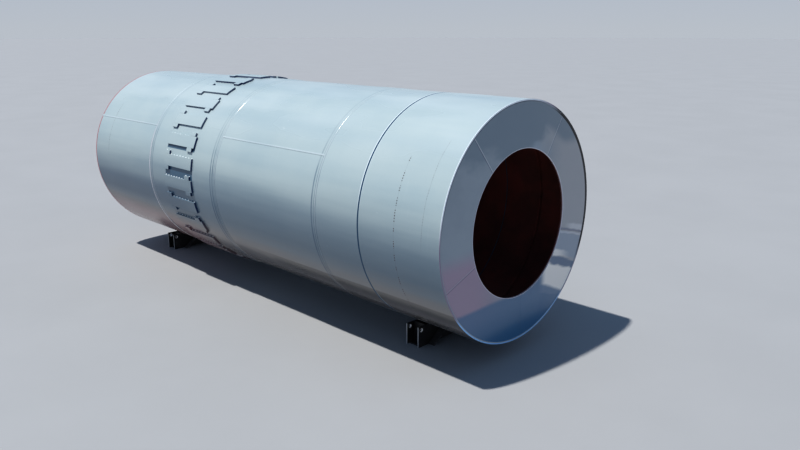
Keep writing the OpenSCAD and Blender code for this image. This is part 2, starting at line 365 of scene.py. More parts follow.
class NodeBoard:
    """Short calls for the nodes of one tree."""

    def __init__(self, tree: bpy.types.NodeTree) -> None:
        """Takes the tree to add nodes to."""
        self.tree = tree

    def add(self, kind: str, inputs: Inputs | None = None, **settings: object) -> bpy.types.Node:
        """Adds a node, sets it and feeds its inputs.

        Args:
            kind: Blender's name for the type of node.
            inputs: Socket name or number, with a value or the socket to link from.
            settings: Properties of the node itself.

        Returns:
            The new node.
        """
        node = self.tree.nodes.new(kind)
        for name, value in settings.items():
            setattr(node, name, value)
        for key, value in (inputs or {}).items():
            if isinstance(value, Socket):
                self.tree.links.new(value, node.inputs[key])
            else:
                node.inputs[key].default_value = value
        return node

    def math(self, operation: str, *values: Value) -> Socket:
        """Result of one operation on one to three numbers."""
        return self.add("ShaderNodeMath", dict(enumerate(values)), operation=operation).outputs[0]

    def chain(self, operation: str, first: Value, *others: Value) -> Value:
        """Result of one operation taken along a row of numbers."""
        for other in others:
            first = self.math(operation, first, other)
        return first

    def times(self, *factors: Value) -> Value:
        """Product of some numbers."""
        return self.chain("MULTIPLY", *factors)

    def plus(self, *terms: Value) -> Value:
        """Sum of some numbers."""
        return self.chain("ADD", *terms)

    def minus(self, first: Value, second: Value) -> Socket:
        """The first number less the second."""
        return self.math("SUBTRACT", first, second)

    def greater(self, first: Value, second: Value) -> Socket:
        """The greater of two numbers."""
        return self.math("MAXIMUM", first, second)

    def remainder(self, value: Value, pitch: float) -> Socket:
        """What is left of a number once whole pitches are taken off."""
        return self.math("FLOORED_MODULO", value, pitch)

    def apart(self, first: Value, second: Value) -> Socket:
        """How far two numbers are apart."""
        return self.math("ABSOLUTE", self.minus(first, second))

    def distance(self, across: Value, up: Value) -> Socket:
        """Straight distance to a place that lies across and up."""
        return self.math("SQRT", self.plus(self.times(across, across), self.times(up, up)))

    def stretched(self, place: Socket, factors: Place) -> Socket:
        """A place with each of its three numbers multiplied."""
        return self.add("ShaderNodeVectorMath", {0: place, 1: factors}, operation="MULTIPLY").outputs[0]

    def span(self, value: Value, low: float, high: float, start: float = 0.0, end: float = 1.0) -> Socket:
        """Smooth change from start to end while a value goes from low to high.

        Args:
            value: The number to read.
            low: Where the change begins.
            high: Where it is complete.
            start: Result up to low.
            end: Result from high on.

        Returns:
            The result's socket.
        """
        ends = {"Value": value, "From Min": low, "From Max": high, "To Min": start, "To Max": end}
        return self.add("ShaderNodeMapRange", ends, interpolation_type="SMOOTHSTEP").outputs[0]

    def band(self, value: Value, middle: float, half: float, soft: float) -> Socket:
        """One within half of the middle, falling to nought over a soft edge."""
        return self.span(self.apart(value, middle), half, half + soft, 1.0, 0.0)

    def noise(self, place: Socket, scale: float, detail: float = 2.0, seed: Value = 0.0) -> Socket:
        """Even noise from nought to one.

        Args:
            place: Where it is read.
            scale: Patches for each metre.
            detail: Octaves of finer noise.
            seed: A number that picks another pattern.

        Returns:
            The noise's socket.
        """
        inputs = {"Vector": place, "W": seed, "Scale": scale, "Detail": detail, "Roughness": 0.55}
        return self.add("ShaderNodeTexNoise", inputs, noise_dimensions="4D").outputs[0]


class FinishBoard(NodeBoard):
    """Node tree of one finish: measures of a turned part to read, and the colour laid on so far."""

    def __init__(self, name: str, axis: KilnAxis) -> None:
        """Starts a material and splits its object coordinates.

        Args:
            name: Name of the material.
            axis: The kiln's axis.
        """
        self.material = bpy.data.materials.new(name)
        self.material.use_nodes = True
        super().__init__(self.material.node_tree)
        self.tree.nodes.clear()
        self.colour: Value = tint(0, 0, 0)
        self.place = self.add("ShaderNodeTexCoord").outputs["Object"]
        self.along, self.side, self.level = self.add("ShaderNodeSeparateXYZ", {0: self.place}).outputs
        self.rise = self.minus(self.level, axis.height)
        self.radius = self.distance(self.side, self.rise)
        self.crown = self.math("DIVIDE", self.rise, self.greater(self.radius, 0.001))
        self.turn = self.math("DIVIDE", self.math("ARCTAN2", self.rise, self.side), math.tau)

    def arc(self, degrees: Value) -> Value:
        """Length of an angle's arc at the radius of the place."""
        return self.times(degrees, self.radius, math.radians(1))

    def patches(self, scale: float | Place, detail: float = 2.0, seed: Value = 0.0) -> Socket:
        """Noise over the piece.

        Args:
            scale: Patches for each metre, the same every way or one number for each axis.
            detail: Octaves of finer noise.
            seed: A number that picks another pattern.

        Returns:
            The noise's socket.
        """
        if isinstance(scale, tuple):
            return self.noise(self.stretched(self.place, scale), 1.0, detail, seed)
        return self.noise(self.place, scale, detail, seed)

    def blend(self, share: Value, first: Value, second: Value) -> Socket:
        """Colour that goes from the first to the second as the share goes from nought to one."""
        return self.add("ShaderNodeMix", {0: share, 6: first, 7: second}, data_type="RGBA").outputs[2]

    def lay(self, tone: Value, *shares: Value) -> None:
        """Lays a tone over the colour so far, as strongly as the product of its shares."""
        self.colour = self.blend(self.times(*shares), self.colour, tone)

    def bump(self, millimetres: Value, before: Socket | None = None) -> Socket:
        """Relief whose height is in millimetres, laid over an earlier one."""
        inputs: Inputs = {"Height": millimetres, "Distance": 0.001, "Strength": 1.0}
        if before is not None:
            inputs["Normal"] = before
        return self.add("ShaderNodeBump", inputs).outputs[0]

    def close(self, roughness: Value, normal: Socket) -> Material:
        """Puts the shader on and hands over the material."""
        inputs = {"Base Color": self.colour, "Roughness": roughness, "Normal": normal}
        shader = self.add("ShaderNodeBsdfPrincipled", inputs)
        self.add("ShaderNodeOutputMaterial", {0: shader.outputs[0]})
        return self.material


class ShapeBoard(NodeBoard):
    """Geometry Nodes tree that takes a piece's plain mesh and ends in one finish."""

    def __init__(self, name: str) -> None:
        """Starts a tree with a geometry input, a geometry output and a finish."""
        super().__init__(bpy.data.node_groups.new(name, "GeometryNodeTree"))
        self.tree.interface.new_socket("Geometry", in_out="OUTPUT", socket_type="NodeSocketGeometry")
        self.entry = self.tree.nodes.new("NodeGroupInput")
        self.geometry = self.knob("Geometry", "Geometry")
        self.finish = self.knob("Finish", "Material")

    def knob(self, name: str, kind: str = "Float") -> Socket:
        """Adds a named input to the tree and gives its socket."""
        self.tree.interface.new_socket(name, in_out="INPUT", socket_type=f"NodeSocket{kind}")
        return self.entry.outputs[name]

    def attribute(self, name: str, kind: str = "FLOAT") -> Socket:
        """Reads a number or a direction stored on the mesh."""
        node = self.add("GeometryNodeInputNamedAttribute", {"Name": name}, data_type=kind)
        return node.outputs["Attribute"]

    def parts(self, place: Socket) -> tuple[Socket, Socket, Socket]:
        """The three numbers of a place or a direction."""
        along, turn, radius = self.add("ShaderNodeSeparateXYZ", {0: place}).outputs
        return along, turn, radius

    def rolled(self, along: Value, turn: Value, radius: Value, height: Value) -> Socket:
        """Rolls a rolled-out place round the kiln's axis."""
        side = self.times(radius, self.math("COSINE", turn))
        rise = self.times(radius, self.math("SINE", turn))
        return self.add("ShaderNodeCombineXYZ", {0: along, 1: side, 2: self.plus(rise, height)}).outputs[0]

    def close(self, geometry: Socket) -> None:
        """Ends the tree with real geometry in the finish."""
        real = self.add("GeometryNodeRealizeInstances", {0: geometry}).outputs[0]
        smooth = self.add("GeometryNodeSetShadeSmooth", {"Geometry": real}).outputs[0]
        dressed = self.add("GeometryNodeSetMaterial", {"Geometry": smooth, "Material": self.finish})
        self.add("NodeGroupOutput", {0: dressed.outputs[0]})

    def close_moved(self, places: Socket) -> None:
        """Ends the tree with the mesh's corners moved to their places."""
        moved = self.add("GeometryNodeSetPosition", {"Geometry": self.geometry, "Position": places})
        self.close(moved.outputs[0])

    def run(self, mesh: Mesh, finish: Material, **knobs: float | int) -> Mesh:
        """Runs the tree on a mesh.

        Args:
            mesh: The plain mesh.
            finish: Finish of the result.
            knobs: The tree's named inputs, with _ for a space.

        Returns:
            The result as a plain mesh.
        """
        carrier = in_scene("shape_carrier", mesh)
        modifier = carrier.modifiers.new("shape", "NODES")
        modifier.node_group = self.tree
        values: dict[str, object] = {name.replace("_", " "): value for name, value in knobs.items()}
        values["Finish"] = finish
        for item in self.tree.interface.items_tree:
            if item.item_type == "SOCKET" and item.in_out == "INPUT" and item.name in values:
                modifier[item.identifier] = values[item.name]
        result = finished_mesh(carrier)
        result.materials.clear()
        result.materials.append(finish)
        return result


# Shape trees


class PlateRoller(ShapeBoard):
    """Rolls a rolled-out plate to the drum's radius, with the slight waves of real rolled plate."""

    def __init__(self) -> None:
        """Builds the tree."""
        super().__init__("roll_plate")
        height, depth, seed = (self.knob(name) for name in ("Axis height", "Wave depth", "Seed"))
        along, turn, radius = self.parts(self.add("GeometryNodeInputPosition").outputs[0])
        true_place = self.rolled(along, turn, radius, height)
        slow = self.noise(self.stretched(true_place, (0.9, 1.5, 1.5)), 1.0, 1.0, seed)
        quick = self.noise(self.stretched(true_place, (3.4, 2.0, 2.0)), 1.0, 0.0, seed)
        share = 0.35
        wave = self.minus(self.plus(slow, self.times(quick, share)), (1 + share) / 2)
        free = self.times(wave, depth, self.attribute("free"))
        self.close_moved(self.rolled(along, turn, self.plus(radius, free), height))


class WeldCrown(ShapeBoard):
    """Lifts a rolled-out strip into a rippled weld crown and rolls it on to the drum."""

    def __init__(self) -> None:
        """Builds the tree."""
        super().__init__("weld_crown")
        names = ("Axis height", "Crown", "Ripple", "Pitch", "Seed")
        height, crown, ripple, pitch, seed = (self.knob(name) for name in names)
        along, turn, radius = self.parts(self.add("GeometryNodeInputPosition").outputs[0])
        lift_along, _, lift_out = self.parts(self.attribute("lift", "FLOAT_VECTOR"))
        run = self.attribute("run")
        source = {"W": self.plus(run, seed), "Scale": 9.0, "Detail": 1.0}
        wander = self.add("ShaderNodeTexNoise", source, noise_dimensions="1D").outputs[0]
        phase = self.plus(self.math("DIVIDE", run, pitch), self.times(wander, 1.5))
        wave = self.times(self.math("SINE", self.times(phase, math.tau)), ripple)
        uneven = self.plus(self.times(wander, 0.5), 0.75)
        amount = self.plus(self.times(crown, uneven), wave)
        along = self.plus(along, self.times(lift_along, amount))
        radius = self.plus(radius, self.times(lift_out, amount))
        self.close_moved(self.rolled(along, turn, radius, height))


class StitchLayer(ShapeBoard):
    """Lays short weld beads along the loose edges of a mesh."""

    def __init__(self, least: float = 0.8, most: float = 1.2) -> None:
        """Builds the tree.

        Args:
            least: Size of the smallest bead as a share of the stated one.
            most: Size of the largest.
        """
        super().__init__("stitch_welds")
        pitch, length, width = (self.knob(name) for name in ("Pitch", "Bead length", "Bead width"))
        seed = self.knob("Seed", "Int")
        curve = self.add("GeometryNodeMeshToCurve", {"Mesh": self.geometry}).outputs[0]
        spaced = {"Curve": curve, "Length": pitch}
        points = self.add("GeometryNodeCurveToPoints", spaced, mode="LENGTH").outputs
        bead = self.add("GeometryNodeMeshUVSphere", {"Segments": 6, "Rings": 4, "Radius": 0.5})
        turned = self.add("FunctionNodeAlignRotationToVector", {"Vector": points["Tangent"]}, axis="X")
        drawn = {"Seed": seed, 2: least, 3: most}
        change = self.add("FunctionNodeRandomValue", drawn, data_type="FLOAT").outputs[1]
        long, thick = self.times(length, change), self.times(width, change)
        size = self.add("ShaderNodeCombineXYZ", {0: long, 1: thick, 2: thick}).outputs[0]
        laid = {
            "Points": points["Points"], "Instance": bead.outputs["Mesh"],
            "Rotation": turned.outputs[0], "Scale": size,
        }
        self.close(self.add("GeometryNodeInstanceOnPoints", laid).outputs[0])


# Finishes


@dataclass(frozen=True)
class Primer:
    """Dull red oxide primer inside the drum and on the site bevel."""

    fresh: Colour = tint(128, 63, 54)
    worn: Colour = tint(99, 52, 46)
    dust_and_reflection: Colour = tint(150, 114, 100)

    def colour(self, board: FinishBoard) -> Socket:
        """Patchy colour that is dusty along the bottom."""
        colour = board.blend(board.span(board.patches(1.7, 4.0, 3.0), 0.35, 0.65), self.worn, self.fresh)
        scale = board.span(board.patches((6.0, 18.0, 18.0), 3.0, 9.0), 0.6, 0.75, 0.0, 0.3)
        colour = board.blend(scale, colour, self.worn)
        return board.blend(board.span(board.crown, -0.75, -1.0, 0.0, 0.45), colour, self.dust_and_reflection)

    def material(self, axis: KilnAxis) -> Material:
        """Finish of the rings and the brace."""
        board = FinishBoard("inner_primer_coat", axis)
        board.colour = self.colour(board)
        grain = board.bump(board.times(board.patches(420.0), 0.25))
        return board.close(board.span(board.patches(4.0), 0.3, 0.7, 0.62, 0.82), grain)


@dataclass(frozen=True)
class Enamel:
    """Blue-grey gloss enamel sprayed over plate, with chalk and wear from handling, and with painted shade
    and painted reflections low on the drum.
    """

    name: str
    light: Colour
    deep: Colour
    chalk: Colour = tint(198, 207, 210)
    shade_and_grime: Colour = tint(62, 86, 109)
    dust_and_reflection: Colour = tint(137, 118, 103)
    warm_reflection: Colour = tint(190, 112, 112)
    dark_reflection: Colour = tint(30, 31, 34)
    right_shade: Colour = tint(8, 10, 18)
    gloss: float = 0.2
    peel: float = 0.04
    shade: float = 0.7
    foot: Colour | None = None

    def film(self, board: FinishBoard) -> Value:
        """Lays the sprayed film's colour, with painted shade and painted reflection towards the bottom, and
        gives its roughness.
        """
        cloud = board.patches(0.8, 3.0, 1.0)
        passes = board.patches((0.16, 2.4, 2.4), 3.0, 2.0)
        tone = board.plus(board.times(cloud, 0.45), board.times(passes, 0.55))
        board.colour = board.blend(board.span(tone, 0.36, 0.64), self.deep, self.light)
        worn = board.span(board.patches((0.4, 1.9, 1.9), 2.0, 5.0), 0.3, 0.75)
        top = board.times(board.span(board.crown, 0.3, 0.9), worn)
        board.lay(self.chalk, top, 0.3)
        runs = board.span(board.patches((26.0, 0.9, 0.9), 2.0, 7.0), 0.6, 0.8)
        board.lay(self.chalk, runs, board.span(board.crown, 0.8, 0.2), 0.1)
        # painted shade: the colour darkens towards the bottom of the drum
        level = board.plus(board.crown, board.times(board.minus(passes, 0.5), 0.35))
        board.lay(self.shade_and_grime, board.span(level, 0.39, -0.22, 0.0, self.shade))
        # painted warm reflection low on the drum's side
        board.lay(self.dust_and_reflection, board.span(level, -0.3, -0.56, 0.0, 0.5))
        self._underside(board)
        # painted highlight on the lower part of a crown, where a finish has one
        if self.foot:
            board.lay(self.foot, board.span(board.crown, 0.72, 0.3, 0.0, 0.85))
        return board.plus(board.times(top, 0.12), board.times(cloud, 0.08), self.gloss)

    def _underside(self, board: FinishBoard) -> None:
        """Painted shade and a painted warm reflection low on the far half, and painted dark reflections in
        strips low on the near half.
        """
        far = board.span(board.along, -0.6, -1.7)
        board.lay(self.shade_and_grime, board.band(board.crown, -0.23, 0.06, 0.13), far, 0.5)
        # painted warm reflection low on the far half
        board.lay(self.warm_reflection, board.span(board.crown, -0.42, -0.6, 0.0, 0.22), far)
        near = board.span(board.along, 0.0, 1.6)
        below, above = board.span(board.crown, -0.555, -0.572), board.span(board.crown, -0.75, -0.62)
        lowest = board.span(board.crown, -0.68, -0.82, 0.0, 0.6)
        # painted dark reflection in strips low on the near half
        board.lay(self.dark_reflection, board.greater(board.times(below, above, 0.55), lowest), near)

    def relief(self, board: FinishBoard, hammering: Value) -> Socket:
        """Orange peel of the film over slow hammering of the plate, in millimetres."""
        return board.bump(board.times(board.patches(260.0, 1.0), self.peel), board.bump(hammering))

    def rolled_relief(self, board: FinishBoard) -> Socket:
        """Relief of the film on rolled plate and on what is welded to it."""
        return self.relief(board, board.times(board.patches((3.0, 7.0, 7.0)), 0.9))

    @staticmethod
    def over(board: FinishBoard, under: Value, coated: Value, roughness: Value, normal: Socket) -> Material:
        """Closes a coat that leaves a duller undercoat bare in places.

        Args:
            board: The finish's node tree.
            under: Colour of the undercoat.
            coated: One where the coat covers it.
            roughness: How dull the coat is.
            normal: Relief of the whole.

        Returns:
            The material.
        """
        board.colour = board.blend(coated, under, board.colour)
        return board.close(board.plus(roughness, board.times(board.minus(1.0, coated), 0.5)), normal)

    @staticmethod
    def outside(board: FinishBoard, drum: DrumSizes) -> Socket:
        """One outside the drum, nought on its inner face."""
        return board.span(board.radius, drum.inner + 0.001, drum.inner + 0.003)

    @staticmethod
    def shaded_right(board: FinishBoard) -> Value:
        """Share of the dam plate end that takes painted shade, along its right side."""
        return board.times(board.span(board.side, 0.55, 0.85), board.span(board.rise, -0.85, -0.5))

    def plain(self, axis: KilnAxis) -> Material:
        """Finish of welded-on bars."""
        board = FinishBoard(self.name, axis)
        return board.close(self.film(board), self.rolled_relief(board))

    def weld(self, drum: DrumSizes, primer: Primer) -> Material:
        """Finish of weld metal: enamel outside, primer on the beads inside."""
        board = FinishBoard(self.name, drum.axis)
        roughness = self.film(board)
        outside = self.outside(board, drum)
        return self.over(board, primer.colour(board), outside, roughness, self.rolled_relief(board))


@dataclass(frozen=True)
class HeatMark:
    """Broken line on the outer paint over one inner ring.

    The line runs from the crown value top down to low; least is what shows between its dashes.
    """

    top: float
    low: float
    strength: float
    least: float
    half_width: float


@dataclass(frozen=True)
class ShellEnamel(Enamel):
    """Enamel of the rolled courses, with heat marks and with painted shade and painted highlights at places
    on the drum.
    """

    scorch: Colour = tint(64, 44, 44)
    joint_primer: Colour = tint(158, 92, 96)
    groove: Colour = tint(40, 82, 112)
    groove_half: float = 0.013
    lip_place: float = 0.0195
    groove_lip_highlight: Colour = tint(232, 242, 246)
    pad_shade: Colour = tint(29, 74, 102)
    edge_shade: Colour = tint(140, 128, 148)
    edge_highlight: Colour = tint(232, 240, 246)
    edge_reflection: Colour = tint(144, 194, 240)
    edge_recess_shade: Colour = tint(64, 76, 96)
    edge_glint: Colour = tint(240, 246, 250)
    heat_marks: tuple[HeatMark, ...] = (
        HeatMark(0.75, 0.1, 0.35, 0.4, 0.0034),
        HeatMark(0.62, -0.75, 1.0, 0.08, 0.0048),
        HeatMark(0.68, 0.2, 0.75, 0.3, 0.0034),
    )

    def shell(self, drum: DrumSizes, primer: Primer, face: Colour) -> Material:
        """Finish of the rolled courses: enamel outside, primer inside and at the site joint.

        Args:
            drum: The drum's places.
            primer: The inner coat.
            face: Colour of the end face round the dam plate: the dam plate's enamel, painted darker as
                shade.

        Returns:
            The material.
        """
        board = FinishBoard(self.name, drum.axis)
        roughness = self.film(board)
        self._seam_lines(board, drum)
        self._heat_marks(board, drum)
        self._pad_shade(board, drum.pads)
        rubs = board.span(board.patches((9.0, 26.0, 26.0), 5.0, 4.0), 0.66, 0.72)
        board.lay(self.chalk, rubs, board.span(board.patches(1.9, 2.0, 14.0), 0.56, 0.68), 0.5)
        self._open_groove(board, drum.open_seam)
        self._end_face(board, drum, face)
        outside = self.outside(board, drum)
        outside = board.greater(outside, board.span(board.along, drum.dam_face - 0.001, drum.dam_face))
        under = board.blend(outside, primer.colour(board), self.joint_primer)
        coated = board.times(outside, board.span(board.along, drum.site_end + 0.046, drum.site_end + 0.052))
        return self.over(board, under, coated, roughness, self.rolled_relief(board))

    def _seam_lines(self, board: FinishBoard, drum: DrumSizes) -> None:
        """Painted shade, with some dirt, along the weld toes and along the crease of each taper."""
        uneven = board.span(board.patches(3.0, 3.0, 15.0), 0.3, 0.7, 0.35, 1.0)
        strength = board.times(uneven, board.span(board.crown, 0.7, 0.1, 0.12, 0.7))
        for seam in drum.girth_seams:
            board.lay(self.shade_and_grime, board.band(board.apart(board.along, seam), 0.017, 0.004, 0.005), strength)
        for crease in drum.creases:
            board.lay(self.shade_and_grime, board.band(board.along, crease, 0.006, 0.012), strength, 0.8)

    def _heat_marks(self, board: FinishBoard, drum: DrumSizes) -> None:
        """Broken lines where the inner rings' stitch welds have marked the outer paint."""
        for number, (ring, mark) in enumerate(zip(drum.ring_places, self.heat_marks)):
            wobble = board.times(board.patches(5.0, 3.0, 11.0 + number), 0.02)
            line = board.band(board.plus(board.along, wobble), ring + 0.009, mark.half_width, 0.003)
            upper = board.span(board.crown, mark.top, mark.top - 0.05)
            lower = board.span(board.crown, mark.low - 0.2, mark.low)
            uneven = board.times(board.patches(5.0, 1.0, 23.0 + number), 1.6)
            bead = board.span(self._repeat(board, 320.0, uneven), -0.2, 0.3)
            group = board.span(self._repeat(board, 58.0, uneven), -0.3, 0.0)
            dash = board.span(board.times(bead, group), 0.0, 1.0, mark.least, 1.0)
            board.lay(self.scorch, line, dash, upper, lower, mark.strength)

    @staticmethod
    def _repeat(board: FinishBoard, count: float, uneven: Value) -> Socket:
        """Wave from minus one to one that comes back so many times round the drum."""
        turns = board.plus(board.times(board.turn, count), uneven)
        return board.math("SINE", board.times(turns, math.tau))

    def _pad_shade(self, board: FinishBoard, pads: PadRing) -> None:
        """Painted shadow on the plate below the lower edge of each pad."""
        degrees = board.times(board.turn, 360.0)
        left = board.remainder(board.minus(degrees, pads.start), pads.pitch)
        right = board.remainder(board.minus(pads.start + pads.gap, degrees), pads.pitch)
        is_left = board.math("LESS_THAN", board.side, 0.0)
        below = board.arc(board.plus(right, board.times(is_left, board.minus(left, right))))
        width = board.span(board.crown, 0.3, 0.1, 0.055, 0.19)
        shade = board.span(board.minus(below, width), 0.0, 0.012, 0.86, 0.0)
        shade = board.times(shade, board.span(board.crown, -0.02, -0.09, 1.0, 0.2))
        shade = board.plus(shade, board.span(below, 0.012, 0.02, 0.12, 0.0))
        room = board.band(board.along, (pads.low + pads.high) / 2, (pads.high - pads.low) / 2, 0.003)
        board.lay(self.pad_shade, shade, board.span(board.crown, 0.42, 0.36), room)

    def _open_groove(self, board: FinishBoard, seam: float) -> None:
        """Dark groove of the seam that isn't filled yet, with painted shade past its edges and painted
        highlights on its lips.
        """
        # painted shade in and beside the groove
        board.lay(self.groove, board.band(board.along, seam, self.groove_half, 0.0015), 0.94)
        # painted highlights on the lips, strongest on the upper part
        far_lip = board.band(board.along, seam - self.lip_place, 0.0045, 0.003)
        near_lip = board.band(board.along, seam + self.lip_place, 0.004, 0.003)
        lips = board.plus(board.times(far_lip, 0.75), board.times(near_lip, 0.3))
        upper = board.times(lips, board.span(board.crown, 0.05, 0.4))
        lower = board.times(near_lip, board.span(board.crown, -0.5, -0.75), 0.6)
        board.lay(self.groove_lip_highlight, board.plus(upper, lower))

    def _end_face(self, board: FinishBoard, drum: DrumSizes, face: Colour) -> None:
        """Shell edge round the dam plate: painted highlight on the upper left, painted reflection at the
        bottom, and painted shade elsewhere and in the recess by the dam plate.
        """
        lip = board.span(board.along, drum.dam_face - 0.001, drum.dam_face)
        lip = board.times(lip, board.span(board.radius, drum.inner + 0.002, drum.inner + 0.001))
        edge = board.greater(board.span(board.along, drum.dam_end - 0.0035, drum.dam_end - 0.0025), lip)
        # painted highlight on the upper left of the edge
        pale = board.times(board.span(board.side, 0.7, 0.1), board.span(board.crown, -0.05, 0.3))
        worn_and_lit = board.blend(pale, self.edge_shade, self.edge_highlight)
        foot = board.plus(board.rise, board.times(board.side, 0.1))
        # painted reflection at the bottom of the edge
        worn_and_lit = board.blend(board.span(foot, -1.06, -1.2), worn_and_lit, self.edge_reflection)
        inner = board.blend(pale, face, self.edge_recess_shade)
        # painted shade on the right side of the edge
        shaded_right = self.shaded_right(board)
        worn_and_lit, inner = (board.blend(shaded_right, tone, self.right_shade) for tone in (worn_and_lit, inner))
        band = board.span(board.radius, drum.rim_outer - 0.019, drum.rim_outer - 0.016)
        rim = board.span(board.along, drum.dam_end - 0.012, drum.dam_end - 0.007)
        # painted highlight on the outer surface just behind the edge
        board.lay(self.edge_glint, rim, pale, 0.6)
        board.lay(board.blend(band, inner, worn_and_lit), edge)


@dataclass(frozen=True)
class DamEnamel(Enamel):
    """Enamel of the dam plate, with painted reflections in clouds, bands and a blue foot, and painted shade.
    """

    seam: float = 0.0
    seam_highlight: Colour = tint(204, 210, 216)
    hole_edge: Colour = tint(234, 231, 238)
    warm: Colour = tint(174, 174, 176)
    slate: Colour = tint(118, 135, 148)
    puff: Colour = tint(160, 176, 190)
    lilac: Colour = tint(172, 142, 162)
    band_slate: Colour = tint(152, 165, 180)
    band_pale: Colour = tint(250, 244, 235)
    band_dark: Colour = tint(98, 120, 146)
    pale_reflection: Colour = tint(226, 226, 228)
    wave_dark: Colour = tint(92, 106, 134)
    wave_pale: Colour = tint(206, 208, 214)
    toe: Colour = tint(80, 80, 108)
    foot_blue: Colour = tint(82, 118, 151)
    foot_deep: Colour = tint(48, 100, 138)

    def dam(self, drum: DrumSizes, primer: Primer) -> Material:
        """Finish of the dam plate: enamel in front, primer behind.

        Args:
            drum: The drum's places.
            primer: The inner coat.

        Returns:
            The material.
        """
        board = FinishBoard(self.name, drum.axis)
        sector = 360.0 / SECTORS
        turned = board.remainder(board.minus(board.times(board.turn, 360.0), drum.dam_seam), 360.0)
        number = board.math("FLOOR", board.math("DIVIDE", turned, sector))
        cloud = board.patches((1.0, 0.9, 1.3), 4.0, board.times(number, 3.7))
        sway = board.minus(cloud, 0.5)
        board.colour = board.blend(board.span(cloud, 0.35, 0.65), self.deep, self.light)
        self._clouds(board, sway)
        self._bands(board, sway)
        self._last_weld(board, sway, board.minus(turned, 360.0 - sector))
        self._blue_foot(board, sway)
        self._toes(board, turned, sector)
        hole = board.span(board.radius, drum.dam_hole + 0.006, drum.dam_hole + 0.011, 0.85, 0.0)
        board.lay(self.hole_edge, hole)
        if self.seam:
            # painted highlight on the radial seams of the upper and left sectors
            upper, left = board.span(board.rise, -0.1, 0.7), board.span(board.side, -0.4, -0.7, 0.0, 0.5)
            board.lay(self.seam_highlight, board.greater(upper, left), self.seam)
        # painted shade on the dam plate's outer margin, along its right side
        margin = board.span(board.radius, drum.inner - 0.017, drum.inner - 0.012, 0.0, 0.9)
        board.lay(self.right_shade, margin, self.shaded_right(board))
        front = board.span(board.along, drum.dam_back + 0.001, drum.dam_back + 0.003)
        # primer on the hole's wall past its first centimetre, which also stands in for the shade inside the
        # hole
        past_wall = board.span(board.radius, drum.dam_hole + 0.001, drum.dam_hole + 0.002)
        near_face = board.span(board.along, drum.dam_face - 0.015, drum.dam_face - 0.01)
        front = board.times(front, board.greater(past_wall, near_face))
        roughness = board.plus(board.times(cloud, 0.1), self.gloss)
        relief = self.relief(board, board.times(board.patches(2.2, 2.0, 12.0), 1.6))
        return self.over(board, primer.colour(board), front, roughness, relief)

    def _clouds(self, board: FinishBoard, sway: Socket) -> None:
        """Painted reflections: slate patches at the top of the dam plate and a paler, warmer side."""
        slant = board.minus(board.rise, board.times(board.greater(board.side, -0.2), 0.35))
        slant = board.plus(slant, board.times(sway, 1.5))
        board.lay(self.warm, board.span(board.plus(board.side, sway), 0.2, 0.9, 0.0, 0.85))
        rim = board.times(board.span(board.radius, 1.26, 1.42), board.span(board.rise, 0.9, 1.08))
        board.lay(self.slate, board.greater(board.span(slant, 0.95, 1.17), rim), 0.85)
        away = board.distance(board.minus(board.side, 0.22), board.times(board.minus(board.rise, 0.98), 1.7))
        board.lay(self.puff, board.span(board.plus(away, board.times(sway, 1.2)), 0.34, 0.1, 0.0, 0.5))
        left = board.span(board.side, 0.0, -1.0, 0.0, 0.7)
        board.lay(self.lilac, left, board.span(board.rise, -0.1, -0.4))

    def _bands(self, board: FinishBoard, sway: Socket) -> None:
        """Painted reflections in uneven bands across the lower right of the dam plate."""
        ragged = board.minus(board.patches((1.0, 3.0, 9.0), 2.0, 31.0), 0.5)
        level = board.plus(board.rise, board.times(board.side, 0.35))
        level = board.plus(level, board.times(sway, 0.15), board.times(ragged, 0.1))
        zone = board.span(board.side, 0.42, 0.62)
        inner = board.span(board.side, 1.3, 0.9)
        bands = (
            (-0.12, 0.16, 0.8, self.band_slate, zone),
            (-0.27, 0.03, 0.7, self.band_pale, inner),
            (-0.4, 0.04, 0.9, self.band_dark, zone),
            (-0.68, 0.2, 0.9, self.band_pale, zone),
        )
        for middle, half, strength, tone, room in bands:
            board.lay(tone, board.band(level, middle, half, 0.045), room, zone, strength)

    def _last_weld(self, board: FinishBoard, sway: Socket, turned: Socket) -> None:
        """Painted wavy reflections beside the last radial weld, from which the angle is taken."""
        off = board.plus(board.arc(turned), board.times(sway, 0.25))
        near = board.span(board.math("ABSOLUTE", turned), 8.0, 4.0)
        rim = board.span(board.side, 1.05, 1.3)
        board.lay(self.pale_reflection, board.band(off, 0.085, 0.02, 0.045), rim, near, 0.5)
        board.lay(self.wave_dark, board.band(off, 0.02, 0.006, 0.03), near, 0.6)
        board.lay(self.wave_pale, board.band(off, -0.045, 0.006, 0.016), near, 0.6)

    def _toes(self, board: FinishBoard, turned: Socket, sector: float) -> None:
        """Painted shade along the lower toe of each radial weld."""
        off = board.minus(board.remainder(board.plus(turned, sector / 2), sector), sector / 2)
        off = board.times(board.arc(off), board.math("SIGN", board.side))
        lower = board.span(board.rise, -0.9, -0.75)
        board.lay(self.toe, board.band(off, -0.0105, 0.0035, 0.004), lower, 0.5)

    def _blue_foot(self, board: FinishBoard, sway: Socket) -> None:
        """Painted reflection in a deep blue foot of the dam plate, with a fairly sharp edge, and painted
        shade deeper towards the rim.
        """
        right = board.greater(board.minus(board.side, 0.55), 0.0)
        level = board.plus(board.rise, board.times(right, 0.47), board.times(sway, 0.12))
        below_hole = board.times(board.span(board.side, 0.0, 0.15), board.span(board.side, 0.68, 0.48))
        below_hole = board.times(below_hole, board.span(board.rise, -0.7, -0.8))
        board.lay(self.foot_blue, board.greater(below_hole, board.span(level, -0.925, -0.995)), 0.9)
        board.lay(self.foot_deep, board.span(level, -1.05, -1.45, 0.0, 0.75))


@dataclass(frozen=True)
class LashHole:
    """Middle and radius of the lashing holes, the same on every web."""

    side: float
    level: float
    radius: float

    @classmethod
    def read(cls) -> "LashHole":
        """The first lashing hole of the record."""
        hole = next(mount for mount in frame["record"]["mounts"] if "hole" in mount["name"])
        return cls(abs(hole["pos_m"][1]), hole["pos_m"][2], hole["dims"]["r_mm"] / 1000)


